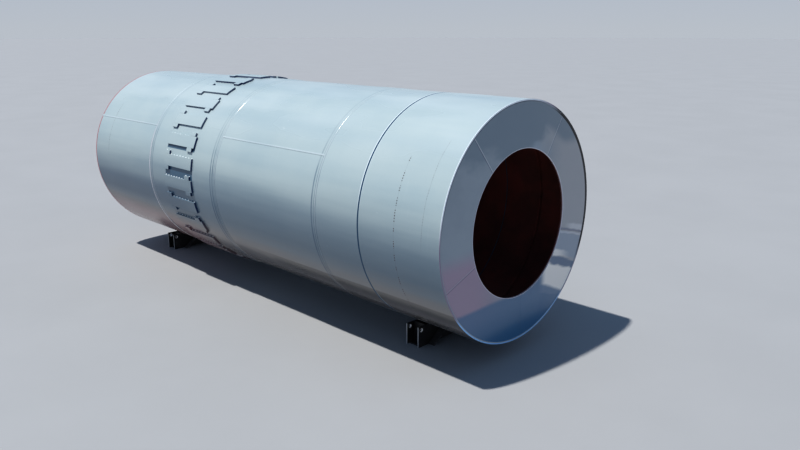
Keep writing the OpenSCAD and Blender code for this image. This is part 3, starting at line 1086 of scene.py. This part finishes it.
@dataclass(frozen=True)
class SaddlePaint:
    """Thin black paint on the saddles, worn through in places."""

    name: str
    coat: Colour
    worn_and_lit: Colour
    share: float
    dust_and_reflection: Colour = tint(104, 98, 92)
    web_end: Colour = tint(164, 166, 168)
    hole_edge: Colour = tint(246, 244, 240)

    def material(self, axis: KilnAxis, hole: LashHole) -> Material:
        """Black with worn and dusty patches, a rolled-plate grain, pale web ends and a painted highlight
        round the holes.
        """
        board = FinishBoard(self.name, axis)
        patches = board.patches(14.0, 5.0, 1.0)
        rub = board.span(patches, 0.62 - self.share, 0.78 - self.share)
        board.colour = board.blend(rub, self.coat, self.worn_and_lit)
        board.lay(self.dust_and_reflection, board.span(board.patches(5.0, 3.0, 6.0), 0.45, 0.75, 0.0, 0.22))
        out = board.math("ABSOLUTE", board.side)
        _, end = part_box("front_saddle_webs")
        board.lay(self.web_end, board.span(out, end.y - 0.003, end.y - 0.001, 0.0, 0.85))
        away = board.distance(board.minus(out, hole.side), board.minus(board.level, hole.level))
        # painted highlight round the lashing holes
        board.lay(self.hole_edge, board.span(away, hole.radius + 0.003, hole.radius + 0.006, 0.95, 0.0))
        grain = board.plus(board.patches(60.0, 3.0), board.patches(320.0, 1.0))
        return board.close(board.span(patches, 0.3, 0.7, 0.42, 0.62), board.bump(board.times(grain, 0.2)))


@dataclass(frozen=True)
class Finishes:
    """Every finish of the section."""

    shell: Material
    weld: Material
    weld_pale: Material
    weld_far: Material
    bead: Material
    bar: Material
    bar_edge: Material
    bar_under: Material
    dam: Material
    dam_bead: Material
    dam_edge: Material
    primer: Material
    groove: Material
    saddle: Material
    saddle_worn: Material
    saddle_edge: Material

    @classmethod
    def mix(cls, drum: DrumSizes) -> "Finishes":
        """Mixes the paints for one drum."""
        primer = Primer()
        light, deep = tint(172, 186, 187), tint(160, 177, 181)
        # the dam plate takes the shell's enamel painted darker as shade, since it faces away from the lamp
        dam_shaded_light, dam_shaded_deep = tint(152, 163, 172), tint(140, 152, 162)
        weld_light, weld_deep = tint(180, 192, 194), tint(166, 182, 186)
        # long seam crowns painted paler than the shell's enamel as a highlight
        pale_light, pale_deep = tint(186, 197, 200), tint(172, 186, 190)
        # far weld crown painted pale below its top as a highlight
        far_light, far_deep, far_foot = tint(160, 178, 184), tint(150, 169, 177), tint(208, 207, 210)
        bead_light, bead_deep = tint(226, 232, 234), tint(206, 214, 218)
        under_light, under_deep = tint(104, 156, 188), tint(88, 140, 174)
        edge_light, edge_deep = tint(226, 224, 232), tint(212, 211, 220)
        welds = {
            "weld": Enamel("weld_enamel_coat", weld_light, weld_deep, gloss=0.11, shade=0.62),
            "weld_pale": Enamel("pale_weld_coat", pale_light, pale_deep, gloss=0.3, shade=0.25),
            "weld_far": Enamel("far_weld_coat", far_light, far_deep, gloss=0.42, shade=0.16, foot=far_foot),
        }
        bars = {
            # pale stitch enamel: a painted highlight on the beads that look up
            "bead": Enamel("stitch_enamel_coat", bead_light, bead_deep, gloss=0.16, shade=0.2),
            "bar": Enamel("pad_enamel_coat", light, deep, gloss=0.22),
            # painted shade on pad sides and ends, and painted light from below on low pad sides
            "bar_edge": Enamel("pad_edge_coat", tint(20, 50, 98), tint(14, 40, 84), gloss=0.3, shade=0.1),
            "bar_under": Enamel("pad_under_coat", under_light, under_deep, gloss=0.3, shade=0.1),
            "dam_edge": Enamel("dam_edge_coat", edge_light, edge_deep, gloss=0.2, shade=0.15),
        }
        saddles = {
            "saddle": SaddlePaint("saddle_black_coat", tint(29, 28, 29), tint(56, 54, 53), 0.02),
            "saddle_worn": SaddlePaint("saddle_worn_plate", tint(62, 61, 60), tint(92, 90, 87), 0.05),
            "saddle_edge": SaddlePaint("saddle_worn_edge", tint(54, 54, 56), tint(128, 124, 120), 0.12),
        }
        return cls(
            shell=ShellEnamel("shell_enamel_coat", light, deep).shell(drum, primer, dam_shaded_light),
            dam=DamEnamel("dam_enamel_coat", dam_shaded_light, dam_shaded_deep, gloss=0.14).dam(drum, primer),
            dam_bead=DamEnamel("dam_seam_coat", dam_shaded_light, dam_shaded_deep, gloss=0.18, seam=0.6).dam(drum, primer),
            primer=primer.material(drum.axis),
            groove=cls._open_steel(drum.axis),
            **{name: coat.weld(drum, primer) for name, coat in welds.items()},
            **{name: coat.plain(drum.axis) for name, coat in bars.items()},
            **{name: paint.material(drum.axis, LashHole.read()) for name, paint in saddles.items()},
        )

    @staticmethod
    def _open_steel(axis: KilnAxis) -> Material:
        """Painted steel in the open groove, with rust coming through."""
        board = FinishBoard("open_seam_steel", axis)
        rust = board.span(board.patches(30.0, 3.0), 0.4, 0.7)
        board.colour = board.blend(rust, tint(44, 84, 112), tint(56, 74, 96))
        return board.close(0.5, board.bump(board.patches(150.0)))


# Pieces


@dataclass
class SubAssembly:
    """What every sub-assembly needs to make and hang up its pieces."""

    drum: DrumSizes
    finishes: Finishes

    def hang(self, name: str, mesh: Mesh, slot: str, nodes: Sequence[str] = ()) -> None:
        """Adds a finished mesh to the scene.

        Args:
            name: Name of the piece.
            mesh: Its mesh, in place.
            slot: The record's material slot; not used.
            nodes: CAD nodes that it stands for.
        """
        mesh.name = name
        piece = in_scene(name, mesh)
        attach(piece, BODY)
        if nodes:
            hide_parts(*nodes)
        triangles = sum(len(polygon.vertices) - 2 for polygon in mesh.polygons)
        LOG.info("%s: %d triangles", name, triangles)

    def dress(self, finish: Material, *nodes: str) -> None:
        """Gives CAD nodes that keep their own mesh a finish."""
        for node in nodes:
            mesh = frame["nodes"][node].data
            mesh.materials.clear()
            mesh.materials.append(finish)
            LOG.info("%s: own mesh, %s", node, finish.name)

    @staticmethod
    def merged(node: str) -> Mesh:
        """Copy of a node's mesh with its corners merged and its flat faces whole."""
        work = bmesh.new()
        work.from_mesh(frame["nodes"][node].data)
        bmesh.ops.remove_doubles(work, verts=work.verts, dist=2e-6)
        bmesh.ops.dissolve_limit(work, angle_limit=math.radians(0.3), verts=work.verts, edges=work.edges)
        work.verts.index_update()
        corners = [vertex.co.copy() for vertex in work.verts]
        faces = [[vertex.index for vertex in face.verts] for face in work.faces]
        work.free()
        mesh = new_mesh(f"{node}_plain", corners, faces)
        mesh.shade_smooth()
        return mesh

    def eased(self, node: str, ease: float, finish: Material, edge: Material | None = None) -> Mesh:
        """Copy of a node with its edges broken, as a cutter or a grinder leaves them.

        Args:
            node: The node to copy.
            ease: Width of the broken edge.
            finish: Finish of the faces.
            edge: Finish of the broken edges, where it is another.

        Returns:
            The new mesh.
        """
        carrier = in_scene("edge_carrier", self.merged(node))
        carrier.data.materials.append(finish)
        carrier.data.materials.append(edge or finish)
        bevel = carrier.modifiers.new("broken_edges", "BEVEL")
        bevel.width = ease
        bevel.segments = 2
        bevel.limit_method = "ANGLE"
        bevel.angle_limit = SHARP_EDGE
        bevel.material = 1
        weighted = carrier.modifiers.new("flat_faces", "WEIGHTED_NORMAL")
        weighted.mode = "FACE_AREA"
        weighted.weight = 90
        return finished_mesh(carrier)

    def parts(self, node: str) -> list[Extent]:
        """Room of each separate solid of a node."""
        mesh = self.merged(node)
        leader = list(range(len(mesh.vertices)))

        def head(index: int) -> int:
            """First corner of the solid that a corner belongs to."""
            while leader[index] != index:
                leader[index] = leader[leader[index]]
                index = leader[index]
            return index

        for edge in mesh.edges:
            leader[head(edge.vertices[0])] = head(edge.vertices[1])
        groups: dict[int, list[Vector]] = {}
        for vertex in mesh.vertices:
            groups.setdefault(head(vertex.index), []).append(vertex.co.copy())
        bpy.data.meshes.remove(mesh)
        return [Extent.of(group, self.drum.axis) for group in groups.values()]

    def rolled_line(self, along: Iterable[float], turns: Iterable[float], radius: float) -> list[Vector]:
        """Line through the places that some ways along and some angles give at one radius."""
        return [self.drum.axis.rolled(x, turn, radius) for x in along for turn in turns]

    def stitches(self, lines: Iterable[Sequence[Vector]], pitch: float, bead: tuple[float, float], seed: int,
                 finish: Material) -> Mesh:
        """Weld beads along lines.

        Args:
            lines: Lines as lists of places.
            pitch: Distance from bead to bead.
            bead: Length and width of a bead.
            seed: Picks how the beads differ.
            finish: Their finish.

        Returns:
            The beads as one mesh.
        """
        corners: list[Vector] = []
        edges: list[tuple[int, int]] = []
        for line in lines:
            first = len(corners)
            corners.extend(line)
            edges.extend((first + k, first + k + 1) for k in range(len(line) - 1))
        knobs = {"Pitch": pitch, "Bead_length": bead[0], "Bead_width": bead[1], "Seed": seed}
        return StitchLayer().run(new_mesh("stitch_lines", corners, [], edges), finish, **knobs)


@dataclass
class RolledCourses(SubAssembly):
    """The rolled plates of the shell."""

    row_step: float = math.radians(1.5)
    longest_step: float = 0.1
    rounding: float = 0.0025
    support: float = 0.007
    wave: float = 0.011
    wave_seed: float = 4.0
    held: float = 0.3
    courses: tuple[str, ...] = (
        "end_course_left", "end_course_right", "short_course_left", "short_course_right",
        "plain_course_upper", "plain_course_lower", "seat_course_left", "seat_course_right",
        "joint_course_upper", "joint_course_lower",
    )

    def build(self) -> None:
        """Rolls every plate."""
        roller = PlateRoller()
        axis = self.drum.axis
        for node in self.courses:
            flat = self._rolled_out(PlateSection.of_node(node, axis))
            knobs = {"Axis_height": axis.height, "Wave_depth": self.wave, "Seed": self.wave_seed}
            rolled = roller.run(flat, self.finishes.shell, **knobs)
            self.hang(f"{node}_plate", self._facing_out(rolled), "shell_enamel", [node])

    def _rolled_out(self, section: PlateSection) -> Mesh:
        """Plate before rolling: x along, y turn in radians, z radius, with its freedom to wave."""
        outline = section.eased(self.rounding, self.support, self.longest_step)
        room = section.room
        rows = max(2, round((room.end - room.start) / self.row_step))
        count = len(outline)
        corners: list[Place] = []
        free: list[float] = []
        for turn in room.turns(rows):
            from_seam = min(turn - room.start, room.end - turn) * room.outer
            for radius, along, outside in outline:
                from_end = min(along - room.low, room.high - along)
                corners.append((along, turn, radius))
                free.append(self._freedom(from_end) * self._freedom(from_seam) if outside else 0.0)
        faces = []
        for row in range(rows):
            here, there = row * count, (row + 1) * count
            for k in range(count):
                after = (k + 1) % count
                faces.append([here + k, here + after, there + after, there + k])
        faces.append(list(range(count)))
        faces.append([rows * count + k for k in reversed(range(count))])
        mesh = new_mesh("plate_rolled_out", corners, faces)
        mesh.attributes.new("free", "FLOAT", "POINT").data.foreach_set("value", free)
        return mesh

    def _freedom(self, distance: float) -> float:
        """How freely the plate waves at a distance from a seam."""
        share = min(1.0, max(0.0, distance / self.held))
        return share * share * (3 - 2 * share)

    @staticmethod
    def _facing_out(mesh: Mesh) -> Mesh:
        """Turns all faces outwards and keeps the sharp edges."""
        work = bmesh.new()
        work.from_mesh(mesh)
        bmesh.ops.remove_doubles(work, verts=work.verts, dist=1e-6)
        bmesh.ops.recalc_face_normals(work, faces=work.faces)
        work.to_mesh(mesh)
        work.free()
        mesh.shade_smooth()
        mesh.set_sharp_from_angle(angle=SHARP_EDGE)
        return mesh


class Joint(Enum):
    """Kinds of weld, each with its width, crown, ripple and ripple pitch."""

    GIRTH = (0.028, 0.0056, 0.0007, 0.015)
    LONG = (0.027, 0.0054, 0.0006, 0.014)
    RADIAL = (0.011, 0.0012, 0.0002, 0.012)
    RIM = (0.009, 0.0012, 0.0003, 0.008)

    def __init__(self, width: float, crown: float, ripple: float, pitch: float) -> None:
        """Takes the sizes of one kind."""
        self.width = width
        self.pitch = pitch
        self.knobs = {"Crown": crown, "Ripple": ripple, "Pitch": pitch}


@dataclass(frozen=True)
class WeldLine:
    """Middle line of a weld in rolled-out places, the way across it and the way it stands up."""

    places: tuple[Place, ...]
    across: Place
    lift: tuple[float, float]
    closed: bool = False

    def spaced(self, step: float) -> list[Place]:
        """Places at even steps along the line."""
        spots: list[Place] = []
        for here, there in zip(self.places, self.places[1:]):
            radius = (here[2] + there[2]) / 2
            gap = math.hypot(there[0] - here[0], (there[1] - here[1]) * radius, there[2] - here[2])
            pieces = max(1, round(gap / step))
            for k in range(pieces):
                spots.append(tuple(a + (b - a) * k / pieces for a, b in zip(here, there)))
        if not self.closed:
            spots.append(self.places[-1])
        return spots


@dataclass
class Welds(SubAssembly):
    """Crowns of the girth, long, radial and rim welds."""

    columns: int = 6
    rows_in_ripple: int = 3
    chevron: float = 0.006
    seed: float = 3.0
    half_root: float = 0.003
    seam_clear: float = 0.012
    bevel_clear: float = 0.026
    edge_clear: float = 0.001
    end_room: float = 0.01
    girth_step: int = 4
    rim_share: float = 0.45
    rim_across: Place = (0.62, 0.0, 0.78)
    rim_lift: tuple[float, float] = (0.78, -0.62)

    def build(self) -> None:
        """Lays every visible weld of the shell and the dam plate."""
        drum, finishes = self.drum, self.finishes
        courses = ("short_course_left", "plain_course_upper", "joint_course_upper")
        coats = (finishes.weld, finishes.weld, finishes.weld_far)
        self.dress(finishes.weld, *(f"girth_weld_{name}" for name in GIRTH_WELDS), "long_welds")
        self.dress(finishes.groove, "girth_seam_open")
        self.dress(finishes.dam_bead, "dam_radial_welds")
        self.dress(finishes.primer, "dam_rim_weld")
        for name, seam, course, coat in zip(GIRTH_WELDS, drum.girth_seams, courses, coats):
            section = PlateSection.of_node(course, drum.axis)
            near = min((section.room.high, section.room.low), key=lambda end: abs(end - seam))
            line = self._girth(seam, section.radius_at(near))
            self._lay(f"girth_crown_{name}", [line], Joint.GIRTH, coat, "weld_enamel")
        self._lay("long_seam_crowns", self._long_lines(), Joint.LONG, finishes.weld_pale, "weld_enamel")
        self._lay("dam_radial_crowns", self._radial_lines(), Joint.RADIAL, finishes.dam_bead, "dam_enamel")
        along = drum.dam_face + (drum.dam_end - drum.dam_face) * self.rim_share
        rim = self._girth(along, drum.inner - self.half_root, self.rim_across, self.rim_lift)
        self._lay("dam_rim_bead", [rim], Joint.RIM, finishes.dam, "dam_enamel")

    def _girth(self, along: float, radius: float, across: Place = (1.0, 0.0, 0.0),
               lift: tuple[float, float] = (0.0, 1.0)) -> WeldLine:
        """Closed line round the drum.

        Args:
            along: Its place along the kiln.
            radius: Its radius.
            across: The way across the weld, in rolled-out measures.
            lift: The way it stands up: along the kiln and outwards.

        Returns:
            The line.
        """
        places = tuple((along, math.radians(turn), radius) for turn in range(0, 361, self.girth_step))
        return WeldLine(places, across, lift, True)

    def _long_lines(self) -> Iterable[WeldLine]:
        """Line of each long seam, at the end of each plate's angles."""
        for node in RolledCourses.courses:
            section = PlateSection.of_node(node, self.drum.axis)
            room = section.room
            at_site = room.low < self.drum.site_end + self.end_room
            at_dam = room.high > self.drum.dam_end - self.end_room
            low = room.low + (self.bevel_clear if at_site else self.seam_clear)
            high = room.high - (self.edge_clear if at_dam else self.seam_clear)
            turn = room.start - self.half_root / room.inner
            spots = [low, *(x for _, x in section.outer if low < x < high), high]
            places = tuple((x, turn, section.radius_at(x)) for x in spots)
            yield WeldLine(places, (0.0, 1.0, 0.0), (0.0, 1.0))

    def _radial_lines(self) -> Iterable[WeldLine]:
        """Line of each radial seam of the dam plate."""
        face = self.drum.dam_face
        for number in range(1, SECTORS + 1):
            room = Extent.of_node(f"dam_sector_{number}", self.drum.axis)
            turn = room.start - self.half_root / self.drum.inner
            ends = ((face, turn, self.drum.dam_hole + 0.002), (face, turn, self.drum.inner - 0.006))
            yield WeldLine(ends, (0.0, 1.0, 0.0), (1.0, 0.0))

    def _lay(self, name: str, lines: Iterable[WeldLine], joint: Joint, finish: Material, slot: str) -> None:
        """Makes the strips of some welds of one kind and runs the crown tree on them.

        Args:
            name: Name of the piece.
            lines: The welds' lines.
            joint: Their kind.
            finish: Their finish.
            slot: The record's material slot.
        """
        corners: list[Place] = []
        faces: list[list[int]] = []
        run: list[float] = []
        lift: list[float] = []
        step = joint.pitch / self.rows_in_ripple
        width = self.columns + 1
        for line in lines:
            spots = line.spaced(step)
            first = len(corners)
            for row, (along, turn, radius) in enumerate(spots):
                for column in range(width):
                    share = 2 * column / self.columns - 1
                    off = [share * joint.width / 2 * way for way in line.across]
                    rise = 1 - share * share
                    corners.append((along + off[0], turn + off[1] / radius, radius + off[2]))
                    run.append(row * step + self.chevron * share * share)
                    lift.extend((line.lift[0] * rise, 0.0, line.lift[1] * rise))
            rows = len(spots)
            for row in range(rows if line.closed else rows - 1):
                here = first + row * width
                there = first + (row + 1) % rows * width
                faces.extend([here + k, here + k + 1, there + k + 1, there + k] for k in range(self.columns))
        mesh = new_mesh(f"{name}_strip", corners, faces)
        mesh.attributes.new("run", "FLOAT", "POINT").data.foreach_set("value", run)
        mesh.attributes.new("lift", "FLOAT_VECTOR", "POINT").data.foreach_set("vector", lift)
        knobs = {"Axis_height": self.drum.axis.height, "Seed": self.seed, **joint.knobs}
        self.hang(name, self._outwards(WeldCrown().run(mesh, finish, **knobs)), slot)

    def _outwards(self, mesh: Mesh) -> Mesh:
        """Turns the strips' faces away from the plate under them."""
        work = bmesh.new()
        work.from_mesh(mesh)
        for face in work.faces:
            middle = face.calc_center_median()
            out = self.drum.axis.away(middle)
            on_dam = self.drum.dam_face - 0.001 < middle.x < self.drum.dam_end + self.end_room
            if on_dam and out.length < self.drum.inner + 0.001:
                out = Vector((1.0, 0.0, 0.0))
            if face.normal.dot(out) < 0:
                face.normal_flip()
        work.to_mesh(mesh)
        work.free()
        mesh.shade_smooth()
        return mesh


@dataclass
class DamPlate(SubAssembly):
    """The dam plate's sectors, with broken edges at the hole."""

    ease: float = 0.004
    edge_room: float = 0.006

    def build(self) -> None:
        """Dresses the sectors."""
        for number in range(1, SECTORS + 1):
            node = f"dam_sector_{number}"
            mesh = self.eased(node, self.ease, self.finishes.dam, self.finishes.dam_edge)
            self._keep_hole_edge(mesh)
            self.hang(f"{node}_plate", mesh, "dam_enamel", [node])

    def _keep_hole_edge(self, mesh: Mesh) -> None:
        """Leaves the pale edge finish only on the broken edges round the hole."""
        for face in mesh.polygons:
            radius, _ = self.drum.axis.polar(face.center)
            if radius > self.drum.dam_hole + self.edge_room:
                face.material_index = 0


@dataclass
class TyreSeat(SubAssembly):
    """Pads and stop blocks with the stitch welds that hold them."""

    ease: float = 0.0025
    bead: tuple[float, float] = (0.05, 0.02)
    under_bead: tuple[float, float] = (0.05, 0.012)
    pitch: float = 0.085
    margin: float = 0.03
    block_margin: float = 0.02
    bead_rise: float = 0.003
    same_turn: float = 0.004
    upward: float = 0.1
    belly: float = -0.33
    over_seed: int = 11
    under_seed: int = 12

    def build(self) -> None:
        """Makes the pads, the stop blocks and their welds."""
        pads = self._bars(SEAT_PADS)
        blocks = self._bars(("pad_stops_rear", "pad_stops_front"))
        lines = [line for pad in pads for line in self._pad_lines(pad, blocks)]
        lines.extend(line for block in blocks for line in self._block_lines(block, pads))
        middles = [(pad.start + pad.end) / 2 for pad in pads]
        over = [line for line in lines if self._looks_up(line, middles)]
        under = [line for line in lines if not self._looks_up(line, middles)]
        # beads on faces that look up take the pale finish as a painted highlight, the others the painted
        # shade finish
        mesh = self.stitches(over, self.pitch, self.bead, self.over_seed, self.finishes.bead)
        self.hang("seat_stitch_welds_over", mesh, "weld_enamel")
        mesh = self.stitches(under, self.pitch, self.under_bead, self.under_seed, self.finishes.bar_edge)
        self.hang("seat_stitch_welds_under", mesh, "weld_enamel")

    def _bars(self, nodes: Iterable[str]) -> list[Extent]:
        """Makes the bars of some nodes and gives the room of each."""
        for node in nodes:
            mesh = self.eased(node, self.ease, self.finishes.bar)
            self._darken_sides(mesh)
            self.hang(f"{node}_bars", mesh, "pad_enamel", [node])
        return [room for node in nodes for room in self.parts(node)]

    def _darken_sides(self, mesh: Mesh) -> None:
        """Gives the end faces and the side faces that look down a painted shade finish, and the low sides
        that look down a painted light from below.
        """
        mesh.materials.append(self.finishes.bar_edge)
        mesh.materials.append(self.finishes.bar_under)
        for face in mesh.polygons:
            out = self.drum.axis.away(face.center).normalized()
            is_side = abs(face.normal.dot(out)) < 0.5
            is_end = abs(face.normal.x) > 0.7
            if is_side and (is_end or face.normal.z < self.upward):
                face.material_index = 3 if out.z < self.belly and not is_end else 2

    def _looks_up(self, line: Sequence[Vector], middles: Sequence[float]) -> bool:
        """Whether the side face that a line runs along looks up.

        Args:
            line: The line.
            middles: Middle angle of each pad.

        Returns:
            True where the face looks up, or nearly so.
        """
        _, turn = self.drum.axis.polar(line[0])
        nearest = min(middles, key=lambda middle: self._apart(middle, turn))
        away = (turn - nearest + math.pi) % math.tau - math.pi
        return math.copysign(1.0, away) * math.cos(turn) > self.upward

    def _pad_lines(self, pad: Extent, blocks: Sequence[Extent]) -> Iterable[list[Vector]]:
        """Lines of the beads along one pad's long sides, clear of its stop blocks."""
        for turn in (pad.start, pad.end):
            low, high = pad.low + self.margin, pad.high - self.margin
            for block in blocks:
                if self._meets(block, turn) and block.middle < pad.middle:
                    low = max(low, block.high + self.margin)
                elif self._meets(block, turn):
                    high = min(high, block.low - self.margin)
            yield self.rolled_line((low, (low + high) / 2, high), [turn], pad.inner + self.bead_rise)

    def _block_lines(self, block: Extent, pads: Sequence[Extent]) -> Iterable[list[Vector]]:
        """Line of the beads along a stop block's free side."""
        spots = (block.low + self.block_margin, block.middle, block.high - self.block_margin)
        for turn in (block.start, block.end):
            if not any(self._meets(pad, turn) for pad in pads):
                yield self.rolled_line(spots, [turn], block.inner + self.bead_rise)

    def _meets(self, bar: Extent, turn: float) -> bool:
        """Whether a long side of a bar lies at an angle."""
        return min(self._apart(bar.start, turn), self._apart(bar.end, turn)) < self.same_turn

    @staticmethod
    def _apart(first: float, second: float) -> float:
        """Smallest angle between two directions."""
        return abs((first - second + math.pi) % math.tau - math.pi)


@dataclass
class InnerFittings(SubAssembly):
    """Brick retaining rings and the round keeping brace, both in primer, with their welds."""

    ease: float = 0.002
    sink: float = 0.003
    ring_sink: float = 0.002
    ring_bead: tuple[float, float] = (0.04, 0.014)
    ring_pitch: float = 0.14
    arm_bead: tuple[float, float] = (0.024, 0.015)
    arm_pitch: float = 0.02
    foot_bead: tuple[float, float] = (0.036, 0.014)
    foot_pitch: float = 0.05
    rings: tuple[str, ...] = ("retaining_ring_1", "retaining_ring_2", "retaining_ring_3")
    brace: tuple[str, ...] = ("brace_hub", "brace_arms", "brace_feet")

    def build(self) -> None:
        """Makes the rings and the brace."""
        for node in (*self.rings, *self.brace):
            mesh = self.eased(node, self.ease, self.finishes.primer)
            self.hang(f"{node}_steel", mesh, "inner_primer", [node])
        rings = [line for ring in self.rings for room in self.parts(ring) for line in self._ring_lines(room)]
        arms = [self._collar(quarter, radius) for quarter in range(4) for radius in self._arm_ends()]
        feet = [line for room in self.parts("brace_feet") for line in self._foot_lines(room)]
        beads = (
            ("ring_stitch_welds", rings, self.ring_pitch, self.ring_bead, 5),
            ("brace_arm_welds", arms, self.arm_pitch, self.arm_bead, 7),
            ("brace_foot_welds", feet, self.foot_pitch, self.foot_bead, 9),
        )
        for name, lines, pitch, bead, seed in beads:
            mesh = self.stitches(lines, pitch, bead, seed, self.finishes.primer)
            self.hang(name, mesh, "inner_primer")

    def _ring_lines(self, room: Extent) -> Iterable[list[Vector]]:
        """Lines along both sides of one ring segment, at the shell."""
        for along in (room.low, room.high):
            yield self.rolled_line([along], room.turns(8, 0.05), self.drum.inner - self.ring_sink)

    def _arm_ends(self) -> tuple[float, float]:
        """Radii at which an arm meets the hub and its foot."""
        hub = Extent.of_node("brace_hub", self.drum.axis)
        foot = Extent.of_node("brace_feet", self.drum.axis)
        return hub.outer + 0.002, foot.inner - 0.002

    def _collar(self, quarter: int, radius: float, steps: int = 24) -> list[Vector]:
        """Closed line round the end of one arm.

        Args:
            quarter: Quarter turns to the arm.
            radius: Radius at which it ends.
            steps: Steps in the line.

        Returns:
            The line.
        """
        low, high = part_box("brace_arms")
        tube = (high.x - low.x) / 2
        turn = quarter * math.pi / 2
        out = Vector((0.0, math.cos(turn), math.sin(turn)))
        side = Vector((0.0, -math.sin(turn), math.cos(turn)))
        centre = Vector(((low.x + high.x) / 2, 0.0, self.drum.axis.height))
        line = []
        for k in range(steps + 1):
            swing = math.tau * k / steps
            off = side * math.cos(swing) * tube
            reach = math.sqrt(radius * radius - off.length_squared)
            line.append(centre + out * reach + off + Vector((math.sin(swing) * tube, 0.0, 0.0)))
        return line

    def _foot_lines(self, room: Extent) -> Iterable[list[Vector]]:
        """Lines round the edge of one foot."""
        radius = self.drum.inner - self.sink
        for along in (room.low, room.high):
            yield self.rolled_line([along], room.turns(4), radius)
        for turn in (room.start, room.end):
            yield self.rolled_line((room.low, room.middle, room.high), [turn], radius)


@dataclass
class TransportSaddle(SubAssembly):
    """One saddle of black plates with rubbed edges and stitch welds."""

    end: str = "front"
    ease: float = 0.002
    pitch: float = 0.1
    bead: tuple[float, float] = (0.05, 0.012)
    seed: int = 3
    plates: tuple[str, ...] = ("webs", "liner", "base", "ribs", "stiffeners")

    def build(self) -> None:
        """Makes the saddle's plates and welds."""
        for plate in self.plates:
            node = f"{self.end}_saddle_{plate}"
            coat = self.finishes.saddle_worn if plate == "stiffeners" else self.finishes.saddle
            mesh = self.eased(node, self.ease, coat, self.finishes.saddle_edge)
            self.hang(f"{node}_plates", mesh, "saddle_black", [node])
        mesh = self.stitches(self._liner_lines(), self.pitch, self.bead, self.seed, self.finishes.saddle)
        self.hang(f"{self.end}_saddle_stitch_welds", mesh, "saddle_black")

    def _liner_lines(self) -> Iterable[list[Vector]]:
        """Lines where the webs' inner faces meet the liner."""
        liner = Extent.of_node(f"{self.end}_saddle_liner", self.drum.axis)
        webs = self.parts(f"{self.end}_saddle_webs")
        for along in (min(web.high for web in webs), max(web.low for web in webs)):
            yield self.rolled_line([along], liner.turns(16, 0.04), liner.outer + 0.002)


# Studio


@dataclass(frozen=True)
class Studio:
    """Pale floor, soft light and the camera."""

    floor_radius: float = 400.0
    floor_tone: Colour = tint(156, 157, 158)
    floor_patch: Colour = tint(162, 163, 164)
    sun_way: Place = (-0.18, -0.31, 0.934)
    sun_power: float = 3.67
    sun_spread: float = 1.5
    sun_colour: Place = (1.0, 0.975, 0.94)
    sky_power: float = 0.94
    sky: tuple[tuple[float, Colour], ...] = (
        (0.0, tint(180, 186, 194)), (1.0, tint(92, 120, 152)),
        (0.1, tint(170, 180, 194)), (0.3, tint(126, 148, 180)),
    )
    eye: Place = (9.9426, -7.7138, 4.3480)
    right: Place = (0.71360, 0.70055, 0.0)
    up: Place = (-0.18171, 0.18493, 0.96581)
    ahead: Place = (-0.67658, 0.68922, -0.25927)
    lens: float = 32.76
    sensor: float = 36.0

    def build(self) -> None:
        """Sets up the studio."""
        self._floor()
        self._sun()
        self._sky()
        self._camera()
        bpy.context.scene.view_settings.view_transform = "Standard"
        bpy.context.scene.view_settings.look = "Medium High Contrast"

    def _floor(self) -> None:
        """Round pale floor under the saddles."""
        work = bmesh.new()
        bmesh.ops.create_circle(work, cap_ends=True, segments=96, radius=self.floor_radius)
        mesh = bpy.data.meshes.new("studio_floor")
        work.to_mesh(mesh)
        work.free()
        board = FinishBoard("studio_floor_paint", KilnAxis(0.0))
        patches = board.span(board.patches(0.35, 4.0), 0.3, 0.7, 0.0, 0.5)
        board.colour = board.blend(patches, self.floor_tone, self.floor_patch)
        mesh.materials.append(board.close(0.75, board.bump(board.patches(90.0))))
        in_scene("studio_floor", mesh)

    def _sun(self) -> None:
        """One large lamp where the photograph's light comes from."""
        lamp = bpy.data.lights.new("key_light", "SUN")
        lamp.energy = self.sun_power
        lamp.angle = math.radians(self.sun_spread)
        lamp.color = self.sun_colour
        holder = in_scene("key_light", lamp)
        holder.matrix_world = Vector(self.sun_way).to_track_quat("Z", "Y").to_matrix().to_4x4()

    def _sky(self) -> None:
        """Even soft light, brighter from above."""
        world = bpy.data.worlds.new("soft_light")
        bpy.context.scene.world = world
        world.use_nodes = True
        world.node_tree.nodes.clear()
        board = NodeBoard(world.node_tree)
        way = board.add("ShaderNodeTexCoord").outputs["Generated"]
        height = board.add("ShaderNodeSeparateXYZ", {0: way}).outputs[2]
        ramp = board.add("ShaderNodeValToRGB", {0: height})
        stops = ramp.color_ramp.elements
        for number, (position, colour) in enumerate(self.sky):
            stop = stops[number] if number < 2 else stops.new(position)
            stop.position, stop.color = position, colour
        light = board.add("ShaderNodeBackground", {"Color": ramp.outputs[0], "Strength": self.sky_power})
        board.add("ShaderNodeOutputWorld", {0: light.outputs[0]})

    def _camera(self) -> None:
        """Camera at the photograph's place."""
        data = bpy.data.cameras.new("view_camera")
        data.lens = self.lens
        data.sensor_width = self.sensor
        data.clip_end = 1000.0
        camera = in_scene("view_camera", data)
        columns = (self.right, self.up, tuple(-value for value in self.ahead), self.eye)
        rows = [[column[row] for column in columns] for row in range(3)]
        camera.matrix_world = Matrix([*rows, [0.0, 0.0, 0.0, 1.0]])
        bpy.context.scene.camera = camera


def main() -> None:
    """Builds the section's sub-assemblies in order, then the studio."""
    logging.basicConfig(level=logging.INFO, format="%(message)s")
    drum = DrumSizes.read()
    finishes = Finishes.mix(drum)
    pieces: list[SubAssembly] = [
        RolledCourses(drum, finishes),
        Welds(drum, finishes),
        DamPlate(drum, finishes),
        TyreSeat(drum, finishes),
        InnerFittings(drum, finishes),
        TransportSaddle(drum, finishes, end="front"),
        TransportSaddle(drum, finishes, end="rear"),
    ]
    for piece in pieces:
        piece.build()
        LOG.info("%s done", type(piece).__name__)
    Studio().build()


if __name__ == "__main__":
    main()
